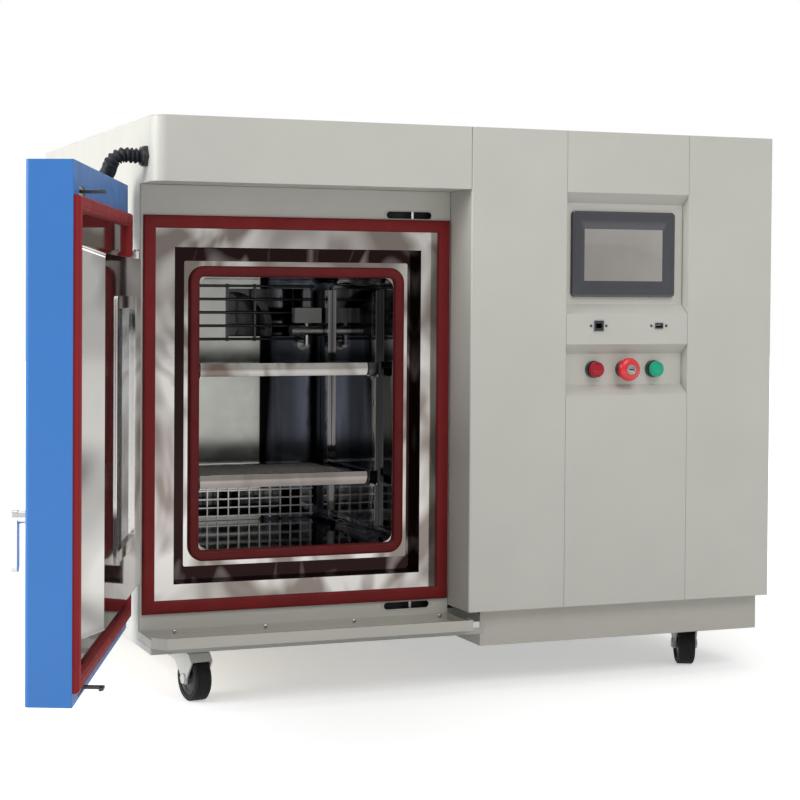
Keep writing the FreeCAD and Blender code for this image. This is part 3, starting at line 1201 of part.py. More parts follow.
def electrics():
    """Electrical plate with contactors, breakers, relays, power supply and terminals."""
    y = plate_y
    plate = box(plate_x0, plate_x1, y, y + 2, plate_z0, plate_z1)
    legs = [box(x, x + 20, y - 18, y, plate_z0, plate_z1) for x in (plate_x0, plate_x1 - 20)]
    parts = [plate] + legs
    rails = [plate_z1 - 60, plate_z1 - 210, plate_z1 - 340]
    for z in rails:
        parts.append(box(plate_x0 + 30, plate_x1 - 30, y + 2, y + 9, z - 17, z + 17))
    base = fuse(parts)
    units = []
    rows = [[(62, 90, 70), (45, 86, 66), (45, 86, 66), (45, 86, 66), (36, 84, 60), (36, 84, 60), (36, 84, 60)],
            [(120, 100, 78), (90, 96, 72), (54, 80, 60), (54, 80, 60)],
            [(110, 50, 44), (110, 50, 44), (110, 50, 44)]]
    for z, row in zip(rails, rows):
        x = plate_x0 + 44
        for w, h, d in row:
            unit = box(x, x + w, y + 9, y + 9 + d * 0.55, z - h / 2, z + h / 2)
            nose = box(x + 2, x + w - 2, y + 9 + d * 0.55, y + 9 + d, z - h / 4, z + h / 4)
            units.append(fuse([unit, nose]))
            x += w + 6
    stands = fuse([box(x, x + 20, y - 18, y + 2, floor_top, plate_z0) for x in (plate_x0, plate_x1 - 20)])
    return Part.Compound([fuse([base, stands])] + units)


def humidifier():
    """Steam generator with its pipe into the air duct."""
    z0, zb = floor_top, floor_top + boiler_leg
    body = rod("Z", boiler_r, boiler_x, boiler_y, zb, boiler_h)
    body = body.makeFillet(14, [e for e in body.Edges if len(e.Vertexes) == 1])
    legs = [rod("Z", 5, boiler_x + 30 * math.cos(a), boiler_y + 30 * math.sin(a), z0, zb - z0 + 6)
            for a in (math.radians(30), math.radians(150), math.radians(270))]
    pipe_y = (duct_y + liner_y1) / 2
    steam_z = steam_line()
    steam = tube([V(boiler_x, boiler_y, zb + boiler_h - 10), V(boiler_x, boiler_y, steam_z),
                  V(boiler_x, pipe_y, steam_z), V(work_x1 - 12, pipe_y, steam_z)], [24, 24], 6)
    band = pipe("Z", boiler_r + 3, boiler_r, boiler_x, boiler_y, zb + 40, 12)
    return fuse([body, steam, band] + legs)


def pipework():
    """Suction and liquid lines between the evaporator and the refrigeration set."""
    pipe_y = (duct_y + liner_y1) / 2
    lo, hi = coil_lines()
    start = work_x1 - 30 + 20
    z0 = floor_top + 12
    bx = comp_x + comp_r + 34
    suction = tube([V(start, pipe_y, hi), V(bx, pipe_y, hi), V(bx, comp_y, hi), V(bx, comp_y, z0 + 160)],
                   [30, 30], 5)
    cx = (coil_x0 + coil_x1) / 2
    liquid = tube([V(start, pipe_y, lo), V(recess_x + 40, pipe_y, lo), V(recess_x + 40, coil_y0 - 40, lo),
                   V(cx, coil_y0 - 40, lo), V(cx, coil_y0 - 40, coil_b + 30), V(cx, coil_y0 - 6, coil_b + 30)],
                  [16, 20, 20, 16], 4)
    discharge = tube([V(comp_x, comp_y, z0 + comp_h), V(comp_x, comp_y, z0 + comp_h + 60),
                      V(comp_x, coil_y1 + 30, z0 + comp_h + 60), V(cx, coil_y1 + 30, z0 + comp_h + 60),
                      V(cx, coil_y1 + 30, coil_b + 270), V(cx, coil_y1 + 8, coil_b + 270)],
                     [18, 18, 18, 10], 4)
    return Part.Compound([suction, liquid, discharge])


def mains_gland():
    y0 = depth
    shank = pipe("Y", mains_r + 5, mains_r, mains_x, y0 - 8, mains_z, 8)
    lock = hexagon("Y", 30, mains_x, mains_z, y0 - 7.5, y0 - sheet).cut(rod("Y", mains_r, mains_x, y0 - 9, mains_z, 9))
    nut = hexagon("Y", 30, mains_x, mains_z, y0, y0 + 9).cut(rod("Y", mains_r, mains_x, y0 - 1, mains_z, 12))
    cap = pipe("Y", mains_r + 6, mains_r, mains_x, y0 + 9, mains_z, mains_len - 17)
    return fuse([shank, lock, nut, cap])


def fork(braked):
    """Caster fork in its own frame: swivel axis at the origin, wheel trailing along +X."""
    hw = wheel_w / 2 + 2.0
    top = fork_top
    outer = hw + leg_t
    crown = rod("Z", 24, 0, 0, crown_z + 2, top - crown_z - 2)
    leg_pts = [(-24, 84), (20, 84), (46, 80), (56, 68), (trail + 11, wheel_z + 3), (trail + 7, wheel_z - 9),
               (trail - 7, wheel_z - 9), (trail - 12, wheel_z + 2), (-8, 62), (-22, 64), (-37, 65), (-37, 76)]
    if not braked:
        leg_pts = leg_pts[:9] + [(-24, 70)]
    legs = [prism("Y", leg_pts, s0, s0 + leg_t) for s0 in (-outer, hw)]
    hood = prism("Y", [(-24, 84), (20, 84), (46, 80), (56, 68), (53.4, 67), (44, 77.8), (19.6, 81.4), (-24, 81.4)],
                 -outer, outer)
    axle = rod("Y", axle_r, trail, -outer, wheel_z, 2 * outer)
    heads = [hexagon("Y", 16, trail, wheel_z, s0, s0 + 3) for s0 in (-outer - 3, outer)]
    parts = [crown, hood, axle] + legs + heads
    if braked:
        parts.append(rod("Y", pedal_pin_r, pedal_x, -outer, pedal_z, 2 * outer))
    return fuse(parts).cut(rod("Z", king_r + fit, 0, 0, crown_z - 2, top - crown_z + 4))


def wheel():
    """Tyre, hub and bore of one wheel, in the fork's frame."""
    half = wheel_w / 2
    tyre = rod("Y", wheel_r, trail, -half, wheel_z, wheel_w)
    rims = [e for e in tyre.Edges if len(e.Vertexes) == 1]
    tyre = tyre.makeChamfer(4, rims)
    dish = [rod("Y", 24, trail, s, wheel_z, 4) for s in (-half - 1, half - 3)]
    hub = rod("Y", 11, trail, -half - 2 + clear, wheel_z, wheel_w + 4 - 2 * clear)
    out = fuse([drill(tyre, dish), hub])
    return out.cut(rod("Y", axle_r + fit, trail, -half - 5, wheel_z, wheel_w + 10))


def pedal():
    """Brake pedal, hinged between the fork's rear ears."""
    hw = wheel_w / 2 + 2.0 - clear
    boss = rod("Y", 5.6, pedal_x, -hw, pedal_z, 2 * hw)
    arm = prism("Y", [(pedal_x - 2, pedal_z + 5.5), (pedal_x - 32, pedal_z + 1), (pedal_x - 36, pedal_z - 8),
                      (pedal_x - 31, pedal_z - 9), (pedal_x - 28, pedal_z - 4), (pedal_x - 2, pedal_z - 2)],
                -hw + 3, hw - 3)
    shoe = prism("Y", [(pedal_x + 2, pedal_z + 5), (pedal_x + 11, pedal_z + 4), (pedal_x + 11, pedal_z - 1),
                       (pedal_x + 2, pedal_z - 3)], -hw + 4, hw - 4)
    out = fuse([boss, arm, shoe])
    return out.cut(rod("Y", pedal_pin_r + fit, pedal_x, -hw - 1, pedal_z, 2 * hw + 2))


def on_caster(shape, name):
    out = shape.copy()
    out.rotate(V(0, 0, 0), V(0, 0, 1), caster_turns[name])
    x, y = caster_places()[name]
    out.translate(V(x, y, 0))
    return out


def build():
    """Every piece by name, still in the modelling frame."""
    right, _ = right_panel()
    nodes = {
        "base_frame": group(base_parts(), machine_floor()), "base_skirt": skirt(),
        "left_side_panel": left_panel(), "right_side_panel": right, "rear_panel": rear_panel(),
        "top_panel": top_panel(), "header": header(),
        "column_panels": group(column_left(), column_right()), "control_panel": control_panel(),
        "front_frame": group(front_frame(), strikes()), "door_throat": throat(),
        "inner_liner": liner(), "insulation": insulation(), "cabinet_gasket": cabinet_gasket(),
        "inner_gasket": inner_gasket(), "shelf_uprights": uprights(), "duct_panel": duct_panel(),
        "air_guards": guards(), "duct_coils": group(evaporator(), heater()), "sensor_bar": sensor(),
        "fan_motor": fan_motor(), "compressor": group(compressor(), pipework()), "condenser": condenser(),
        "humidifier": humidifier(), "electrics": electrics(),
        "display": group(display(), screen()), "data_ports": data_ports(),
        "button_collars": collars(), "cable_sleeve": cable_sleeve(), "drain_pipe": drain_pipe(),
        "cable_glands": group(mains_gland(), side_gland()), "hinge_leaves": hinge_cabinet(),
        "drip_tray": tray(), "door_hose": hose(),
        "door_shell": swing(door_shell()), "door_core": swing(door_core()), "door_liner": swing(door_liner()),
        "door_gasket": swing(door_gasket()), "window_frame": swing(window_frame()),
        "window_glass": swing(window_glass()),
        "door_fittings": swing(group(*hinge_door(), escutcheon(), elbow_gland())),
        "handle": swing(handle()), "latch_bar": swing(latch_bar()),
        "shelf_lower": shelf(shelf_lower), "shelf_upper": shelf(shelf_upper),
        "circulation_fan": circulation_fan(), "condenser_fan": condenser_fan(),
        "power_button": lens_button(0), "lighting_button": lens_button(2), "emergency_button": stop_button(),
    }
    for name in caster_turns:
        front = name.startswith("front")
        nodes["fork_" + name] = on_caster(fork(front), name)
        nodes["wheel_" + name] = on_caster(wheel(), name)
        if front:
            nodes["pedal_" + name] = on_caster(pedal(), name)
    return nodes


def origin(nodes):
    """Middle of the footprint on the floor, with the door standing open."""
    bound = None
    for shape in nodes.values():
        b = shape.optimalBoundingBox(False, False)
        bound = b if bound is None else bound.united(b)
    return V((bound.XMin + bound.XMax) / 2, (bound.YMin + bound.YMax) / 2, bound.ZMin)


def main():
    os.makedirs("parts", exist_ok=True)
    nodes = build()
    start = origin(nodes)
    for name, shape in nodes.items():
        shape.translate(start * -1)
        shape.exportStep("parts/" + name + ".step")


if __name__ == "__main__":
    main()
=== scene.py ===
"""Looks of a wheeled temperature and humidity test chamber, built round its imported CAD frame.

Sizes are in millimetres, counted from the front left corner of the cabinet at floor level, and
pieces of the door are built with the door closed.  Shop.matrix turns them into the frame's metres.
"""
import json
import logging
import math
from dataclasses import dataclass
from enum import Enum
from typing import Callable, Optional, Sequence

import bmesh
import bpy
from mathutils import Matrix, Vector

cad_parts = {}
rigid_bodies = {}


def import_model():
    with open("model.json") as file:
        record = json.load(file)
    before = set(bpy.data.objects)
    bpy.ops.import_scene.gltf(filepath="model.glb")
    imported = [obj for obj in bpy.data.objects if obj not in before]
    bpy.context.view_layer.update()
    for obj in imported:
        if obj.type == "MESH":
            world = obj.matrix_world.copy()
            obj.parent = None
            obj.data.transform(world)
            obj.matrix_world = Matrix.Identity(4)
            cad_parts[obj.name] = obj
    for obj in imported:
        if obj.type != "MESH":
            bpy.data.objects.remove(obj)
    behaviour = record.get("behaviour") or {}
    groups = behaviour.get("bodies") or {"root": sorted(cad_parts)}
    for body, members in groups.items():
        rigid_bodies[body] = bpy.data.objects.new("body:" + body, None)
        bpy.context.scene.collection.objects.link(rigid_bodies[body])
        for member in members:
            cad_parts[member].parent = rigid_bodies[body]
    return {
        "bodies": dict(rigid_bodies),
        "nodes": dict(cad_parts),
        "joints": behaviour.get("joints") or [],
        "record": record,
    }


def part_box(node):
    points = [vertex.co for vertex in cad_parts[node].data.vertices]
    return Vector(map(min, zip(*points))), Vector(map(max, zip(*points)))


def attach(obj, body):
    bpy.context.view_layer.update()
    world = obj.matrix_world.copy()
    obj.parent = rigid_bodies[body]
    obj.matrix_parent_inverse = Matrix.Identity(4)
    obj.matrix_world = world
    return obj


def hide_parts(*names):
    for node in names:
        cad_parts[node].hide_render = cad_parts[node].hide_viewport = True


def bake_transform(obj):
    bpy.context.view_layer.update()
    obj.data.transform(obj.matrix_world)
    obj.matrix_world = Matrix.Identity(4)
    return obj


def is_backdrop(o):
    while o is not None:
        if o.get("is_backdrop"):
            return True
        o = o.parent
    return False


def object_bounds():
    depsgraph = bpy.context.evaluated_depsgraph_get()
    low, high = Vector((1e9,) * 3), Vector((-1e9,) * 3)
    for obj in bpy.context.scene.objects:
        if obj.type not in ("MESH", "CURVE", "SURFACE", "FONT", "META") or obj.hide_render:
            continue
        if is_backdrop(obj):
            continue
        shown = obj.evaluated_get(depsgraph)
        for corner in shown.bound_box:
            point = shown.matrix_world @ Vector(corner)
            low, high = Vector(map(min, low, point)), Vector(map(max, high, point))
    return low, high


log = logging.getLogger("chamber")
MM = 0.001
SHARP = 32.0                    # edges sharper than this many degrees stay sharp

Colour = tuple[float, float, float]
Rect = tuple[float, float, float, float]
Profile = Sequence[tuple[float, float]]
Socket = bpy.types.NodeSocket
Test = Callable[[Vector], bool]


class Body(str, Enum):
    """The moving groups that dressed pieces ride on."""

    CABINET = "cabinet"
    DOOR = "door"
    HANDLE = "handle"
    LATCH = "latch_bar"
    SHELF_LOW = "shelf_lower"
    SHELF_HIGH = "shelf_upper"


class Way(Enum):
    """Directions along the frame's axes."""

    RIGHT = (1.0, 0.0, 0.0)
    BACK = (0.0, 1.0, 0.0)
    FRONT = (0.0, -1.0, 0.0)

    def vector(self) -> Vector:
        """The direction as a vector."""
        return Vector(self.value)


def linear(colour: Colour) -> tuple[float, float, float, float]:
    """Turn a screen colour into the linear colour that shaders take.

    Args:
        colour: Red, green and blue from 0 to 1, as seen on a screen.

    Returns:
        The linear colour with an alpha of 1.
    """
    red, green, blue = (c / 12.92 if c <= 0.04045 else ((c + 0.055) / 1.055) ** 2.4 for c in colour)
    return (red, green, blue, 1.0)


def toned(colour: Colour, share: float) -> Colour:
    """A colour made lighter or darker by a share of itself."""
    return tuple(min(1.0, max(0.0, c * (1.0 + share))) for c in colour)


# ---- finishes ------------------------------------------------------------------------


class Shader:
    """The node tree of one material while it is being written."""

    def __init__(self, name: str) -> None:
        """Start a material.

        Args:
            name: The material's name.
        """
        self.material = bpy.data.materials.new(name)
        self.material.use_nodes = True
        self.tree = self.material.node_tree
        self.bsdf = self.tree.nodes["Principled BSDF"]
        self.place = self.add("ShaderNodeTexCoord").outputs["Object"]

    def add(self, kind: str, **inputs: object) -> bpy.types.Node:
        """Add a node.

        Args:
            kind: The node's type.
            inputs: A value for each input; underscores stand for spaces.

        Returns:
            The node.
        """
        node = self.tree.nodes.new(kind)
        for label, value in inputs.items():
            node.inputs[label.replace("_", " ")].default_value = value
        return node

    def join(self, source: Socket, target: Socket) -> None:
        """Link two sockets."""
        self.tree.links.new(source, target)

    def set(self, **inputs: object) -> None:
        """Fill inputs of the surface shader."""
        for label, value in inputs.items():
            self.bsdf.inputs[label.replace("_", " ")].default_value = value

    def noise(self, scale: float, detail: float = 3.0, stretch: Optional[Colour] = None) -> Socket:
        """A noise pattern on the piece's own place.

        Args:
            scale: Waves per metre.
            detail: Octaves.
            stretch: Scale along each axis, where the pattern runs one way.

        Returns:
            The factor socket.
        """
        node = self.add("ShaderNodeTexNoise", Scale=scale, Detail=detail)
        source = self.place
        if stretch:
            mapping = self.add("ShaderNodeMapping", Scale=stretch)
            self.join(source, mapping.inputs["Vector"])
            source = mapping.outputs["Vector"]
        self.join(source, node.inputs["Vector"])
        return node.outputs["Fac"]

    def spread(self, factor: Socket, low: float, high: float) -> Socket:
        """Map the middle of a noise factor onto a range.

        Args:
            factor: The noise factor.
            low: What a low factor gives.
            high: What a high factor gives.

        Returns:
            The result socket.
        """
        node = self.add("ShaderNodeMapRange", From_Min=0.3, From_Max=0.7, To_Min=low, To_Max=high)
        self.join(factor, node.inputs["Value"])
        return node.outputs["Result"]

    def blend(self, factor: Socket, low: Colour, high: Colour,
              start: float = 0.3, stop: float = 0.7) -> Socket:
        """Run between two colours as a factor grows.

        Args:
            factor: The factor.
            low: Colour below start.
            high: Colour above stop.
            start: Factor at which the run starts.
            stop: Factor at which it ends.

        Returns:
            The colour socket.
        """
        node = self.add("ShaderNodeValToRGB")
        first, last = node.color_ramp.elements
        first.position, last.position = start, stop
        first.color, last.color = linear(low), linear(high)
        self.join(factor, node.inputs["Fac"])
        return node.outputs["Color"]

    def bump(self, height: Socket, strength: float, depth: float,
             under: Optional[Socket] = None) -> Socket:
        """Raise the surface by a height pattern.

        Args:
            height: The pattern.
            strength: Share of the effect, from 0 to 1.
            depth: Height of the pattern in millimetres.
            under: Normal of a coarser pattern below it.

        Returns:
            The normal socket.
        """
        node = self.add("ShaderNodeBump", Strength=strength, Distance=depth * MM)
        self.join(height, node.inputs["Height"])
        if under:
            self.join(under, node.inputs["Normal"])
        return node.outputs["Normal"]

    def base(self, colour: Socket) -> None:
        """Take the surface's colour from a socket."""
        self.join(colour, self.bsdf.inputs["Base Color"])

    def rough(self, roughness: Socket) -> None:
        """Take the surface's roughness from a socket."""
        self.join(roughness, self.bsdf.inputs["Roughness"])

    def relief(self, normal: Socket) -> None:
        """Take the surface's normal from a socket."""
        self.join(normal, self.bsdf.inputs["Normal"])

    def rounded(self, radius: float) -> Socket:
        """The normal, with sharp edges shaded as if rounded by a radius in millimetres."""
        node = self.add("ShaderNodeBevel", Radius=radius * MM)
        node.samples = 4
        return node.outputs["Normal"]


_made: dict[str, bpy.types.Material] = {}


@dataclass(frozen=True)
class Finish:
    """A surface finish: its material is written once and then shared."""

    name: str
    colour: Colour
    roughness: float = 0.5
    wander: float = 0.03        # how far the colour drifts from place to place

    def write(self, s: Shader) -> None:
        """Write the finish into a shader's nodes."""
        cloud = s.noise(7.0, 4.0)
        s.base(s.blend(cloud, toned(self.colour, -self.wander), toned(self.colour, self.wander)))
        s.rough(s.spread(s.noise(31.0), self.roughness * 0.85, self.roughness * 1.15))

    def material(self) -> bpy.types.Material:
        """The finish as a material."""
        if self.name not in _made:
            shader = Shader(self.name)
            self.write(shader)
            _made[self.name] = shader.material
        return _made[self.name]


@dataclass(frozen=True)
class Paint(Finish):
    """Baked powder paint: a fine orange peel on sheet that is never quite flat."""

    roughness: float = 0.42
    wander: float = 0.012
    peel: float = 0.05          # height of the orange peel in millimetres

    def write(self, s: Shader) -> None:
        """Write the paint."""
        super().write(s)
        s.set(Specular_IOR_Level=0.42)
        sheet = s.bump(s.noise(3.0, 2.0), 0.12, 1.2, s.rounded(1.2))
        s.relief(s.bump(s.noise(620.0, 2.0), 0.22, self.peel, sheet))


@dataclass(frozen=True)
class Mirror(Finish):
    """Mirror-polished stainless sheet, never quite flat; its colour is clouded light and dark as painted
    reflections of the room.
    """

    roughness: float = 0.055
    # dark: colour of the painted reflection of the room's darker parts
    dark: Colour = (0.30, 0.29, 0.285)
    share: float = 0.5          # how much of the sheet shows the dark painted reflection
    patch: float = 5.0          # clouds of painted reflection per metre
    run: Colour = (1.0, 1.0, 0.45)
    swirl: float = 1.6
    wave: float = 1.1           # height of the sheet's waves in millimetres

    def tone(self, s: Shader) -> Socket:
        """The sheet's clouded colour: painted reflections of the room."""
        cloud = s.noise(self.patch, 2.0, self.run)
        cloud.node.inputs["Distortion"].default_value = self.swirl
        return s.blend(cloud, self.dark, self.colour, self.share - 0.07, self.share + 0.09)

    def write(self, s: Shader) -> None:
        """Write the polished sheet."""
        super().write(s)
        s.set(Metallic=1.0)
        s.base(self.tone(s))
        sheet = s.bump(s.noise(5.5, 1.5), 0.55, self.wave, s.rounded(0.8))
        s.relief(s.bump(s.noise(60.0, 3.0, (1.0, 1.0, 9.0)), 0.05, 0.04, sheet))


@dataclass(frozen=True)
class SplitMirror(Mirror):
    """Polished sheet painted with reflections: a pale, calm part up to a line across it and a dark, streaked
    one beyond.
    """

    pale: Colour = (0.60, 0.60, 0.58)
    line: float = -0.095        # where the pale part ends, along the piece's X in metres

    def tone(self, s: Shader) -> Socket:
        """The colour of the two parts of the painted reflection."""
        split = s.add("ShaderNodeSeparateXYZ")
        s.join(s.place, split.inputs[0])
        edge = s.add("ShaderNodeMapRange", From_Min=self.line - 0.001, From_Max=self.line + 0.001)
        s.join(split.outputs["X"], edge.inputs["Value"])
        mix = s.add("ShaderNodeMix")
        mix.data_type = "RGBA"
        s.join(edge.outputs["Result"], mix.inputs["Factor"])
        s.join(s.blend(s.noise(9.0), toned(self.pale, -0.12), self.pale), mix.inputs[6])
        s.join(super().tone(s), mix.inputs[7])
        return mix.outputs[2]


@dataclass(frozen=True)
class Satin(Finish):
    """Metal with fine grinding lines along one axis."""

    roughness: float = 0.3
    lines: Colour = (4.0, 90.0, 90.0)

    def write(self, s: Shader) -> None:
        """Write the ground metal."""
        super().write(s)
        s.set(Metallic=1.0)
        grain = s.noise(16.0, 4.0, self.lines)
        s.rough(s.spread(grain, self.roughness * 0.7, self.roughness * 1.3))
        s.relief(s.bump(grain, 0.12, 0.05))


@dataclass(frozen=True)
class Rubber(Finish):
    """Matt silicone or tyre rubber with a soft sheen."""

    roughness: float = 0.62
    wander: float = 0.09
    tooth: float = 0.12

    def write(self, s: Shader) -> None:
        """Write the rubber."""
        super().write(s)
        s.set(Specular_IOR_Level=0.22, Sheen_Weight=0.03, Sheen_Roughness=0.45)
        fine = s.bump(s.noise(420.0, 3.0), 0.3, self.tooth)
        s.relief(s.bump(s.noise(24.0, 2.0), 0.2, 0.5, fine))


@dataclass(frozen=True)
class Plastic(Finish):
    """Moulded plastic with a fine spark-eroded grain."""

    roughness: float = 0.4
    wander: float = 0.04
    grain: float = 0.04
    coat: float = 0.0

    def write(self, s: Shader) -> None:
        """Write the plastic."""
        super().write(s)
        s.set(Coat_Weight=self.coat, Coat_Roughness=0.06)
        s.relief(s.bump(s.noise(1400.0, 2.0), 0.25, self.grain))


@dataclass(frozen=True)
class Lens(Finish):
    """Tinted lens of a lamp button: clear gloss over a coloured, finely ribbed core."""

    roughness: float = 0.14
    wander: float = 0.16
    glow: float = 0.06

    def write(self, s: Shader) -> None:
        """Write the lens."""
        super().write(s)
        s.set(Coat_Weight=0.15, Coat_Roughness=0.05, Specular_IOR_Level=0.2,
              Emission_Color=linear(self.colour), Emission_Strength=self.glow)
        rings = s.add("ShaderNodeTexWave", Scale=260.0, Distortion=0.4)
        s.join(s.place, rings.inputs["Vector"])
        s.relief(s.bump(rings.outputs["Fac"], 0.2, 0.08))


@dataclass(frozen=True)
class Glass(Finish):
    """Coated window pane: mostly clear, with a smoky tint."""

    roughness: float = 0.02
    wander: float = 0.02
    clear: float = 0.88

    def write(self, s: Shader) -> None:
        """Write the pane."""
        super().write(s)
        s.set(IOR=1.45, Transmission_Weight=self.clear, Specular_IOR_Level=0.7)
        s.relief(s.bump(s.noise(4.0, 1.0), 0.1, 0.2))


@dataclass(frozen=True)
class Foam(Finish):
    """Cut face of rigid foam."""

    roughness: float = 0.9
    wander: float = 0.08

    def write(self, s: Shader) -> None:
        """Write the foam."""
        super().write(s)
        cells = s.add("ShaderNodeTexVoronoi", Scale=700.0)
        s.join(s.place, cells.inputs["Vector"])
        s.relief(s.bump(cells.outputs["Distance"], 0.6, 0.5))


WHITE_PAINT = Paint("warm_white_paint", (0.77, 0.765, 0.735))
# Darker copy of the warm white paint for the drip tray and base skirt: painted shade low on the front.
SHADED_TRAY_PAINT = Paint("tray_paint", (0.72, 0.71, 0.675))
BLUE_PAINT = Paint("blue_paint", (0.19, 0.43, 0.70), roughness=0.4, peel=0.07)
# Near-black paint: painted shade inside the strike pockets behind the latch slots and in the stop's key slot.
SLOT_SHADE = Paint("slot_black", (0.045, 0.045, 0.045), roughness=0.6)
FRAME_PAINT = Paint("frame_paint", (0.66, 0.66, 0.64), roughness=0.5)
CASTER_PAINT = Paint("caster_paint", (0.80, 0.80, 0.775), roughness=0.35)
# The light and dark clouds of these mirror finishes are painted reflections of the room.
POLISHED = Mirror("polished_stainless", (0.80, 0.79, 0.775), dark=(0.24, 0.23, 0.235), share=0.46, patch=9.0)
THROAT_STEEL = Mirror("throat_stainless", (0.70, 0.69, 0.675), dark=(0.44, 0.405, 0.385),
                      share=0.47, patch=4.5, run=(1.0, 1.0, 0.7), swirl=2.2, wave=1.8)
# Lining steel is a darker copy of the polished steel: painted shade on the throat's walls, besides painted
# reflections.
LINING_STEEL = Mirror("lining_stainless", (0.50, 0.47, 0.46), dark=(0.13, 0.085, 0.085), share=0.6, patch=9.0,
                      run=(1.0, 1.0, 0.5), wave=1.2)
DOOR_STEEL = Mirror("door_stainless", (0.66, 0.655, 0.64), dark=(0.20, 0.195, 0.21), share=0.49, patch=3.4,
                    run=(1.0, 1.0, 0.6), swirl=1.6, wave=1.4)
# Workspace steel is darker still, with near-black clouds: painted shade deep inside the workspace, besides
# painted reflections.
WORKSPACE_STEEL = Mirror("workspace_stainless", (0.50, 0.50, 0.51), roughness=0.07, dark=(0.05, 0.05, 0.06),
                         share=0.52, patch=8.0, run=(1.0, 1.0, 0.15), wave=1.6)
STRAND_STEEL = Satin("strand_steel", (0.86, 0.855, 0.84), roughness=0.34, lines=(50.0, 50.0, 50.0))
STRIP_STEEL = Mirror("strip_stainless", (0.57, 0.56, 0.545), dark=(0.38, 0.34, 0.31), share=0.44, patch=8.0,
                     wave=0.7)
# Darker copy of the strip steel for the lower shelf: painted shade lower in the workspace.
SHADED_STRIP_STEEL = Mirror("low_strip_stainless", (0.50, 0.475, 0.46), dark=(0.45, 0.425, 0.41),
                         share=0.45, patch=6.0, wave=0.5)
# Duct steel: a pale painted reflection of the room up to a line, and near-black painted reflection and shade
# beyond.
DUCT_STEEL = SplitMirror("duct_stainless", (0.42, 0.44, 0.48), roughness=0.16, dark=(0.03, 0.03, 0.035),
                         share=0.55, patch=26.0, run=(1.0, 1.0, 0.04), swirl=0.5, wave=0.5)
UPRIGHT_STEEL = Mirror("upright_stainless", (0.66, 0.65, 0.64), dark=(0.30, 0.30, 0.31),
                       share=0.49, patch=110.0, run=(1.0, 1.0, 0.01), swirl=0.2, wave=0.3)
KEY_STEEL = Satin("key_steel", (0.55, 0.545, 0.54), roughness=0.25, lines=(60.0, 60.0, 60.0))
# Dark steel: on the latch bar its darkness is painted shade of the slots that the hooks sit in; the socket
# screws use it too.
HOOK_STEEL = Satin("hook_steel", (0.30, 0.295, 0.29), roughness=0.38)
PIN_STEEL = Satin("strike_pin_steel", (0.82, 0.81, 0.80), roughness=0.2)
SATIN_STEEL = Satin("satin_stainless", (0.74, 0.735, 0.72))
HANDLE_STEEL = Satin("handle_chrome", (0.80, 0.80, 0.80), roughness=0.16)
SCREW_STEEL = Satin("screw_steel", (0.70, 0.69, 0.67), roughness=0.22, lines=(60.0, 60.0, 60.0))
BARE_METAL = Satin("bare_metal", (0.66, 0.64, 0.60), roughness=0.42)
GOLD = Satin("contact_gold", (0.85, 0.68, 0.32), roughness=0.25)
RED_SILICONE = Rubber("red_silicone", (0.43, 0.085, 0.09), wander=0.06)
# Darker copy of the red silicone for the workspace gasket: painted shade deep in the throat.
SHADED_INNER_SILICONE = Rubber("inner_silicone", (0.35, 0.06, 0.065), wander=0.06)
SEAM_RED = Rubber("mitre_seam", (0.17, 0.035, 0.04), wander=0.05)
# Lighter copy of the red silicone for the door's gasket: painted light on the open door.
LIT_DOOR_SILICONE = Rubber("door_silicone", (0.50, 0.10, 0.12), wander=0.06)
TYRE = Rubber("caster_tyre", (0.12, 0.12, 0.125), roughness=0.7)
HOSE_BLACK = Rubber("hose_black", (0.10, 0.105, 0.115), roughness=0.5, tooth=0.05)
BLACK_PLASTIC = Plastic("black_plastic", (0.075, 0.075, 0.08))
BLACK_ENAMEL = Plastic("black_enamel", (0.09, 0.09, 0.095), roughness=0.3, coat=0.3)
DEVICE_GREY = Plastic("device_grey", (0.64, 0.65, 0.66))
HOUSING_GREY = Plastic("housing_grey", (0.78, 0.78, 0.765))
PANEL_SLATE = Plastic("panel_slate", (0.175, 0.18, 0.21), roughness=0.2, wander=0.12, grain=0.015, coat=0.3)
SCREEN = Plastic("dark_screen", (0.56, 0.545, 0.525), roughness=0.12, wander=0.05, grain=0.004, coat=0.5)
BRAKE_RED = Plastic("brake_red", (0.78, 0.10, 0.14), roughness=0.3, coat=0.3)
STOP_RED = Plastic("stop_red", (0.82, 0.045, 0.115), roughness=0.25, grain=0.01, coat=0.3)
RED_LENS = Lens("red_lens", (0.64, 0.03, 0.13))
GREEN_LENS = Lens("green_lens", (0.0, 0.56, 0.42))
WINDOW = Glass("window_pane", (0.80, 0.84, 0.85))
FOAM = Foam("foam", (0.87, 0.81, 0.64))


# ---- places and shapes ---------------------------------------------------------------

ON_DOOR = (Body.DOOR, Body.HANDLE, Body.LATCH)


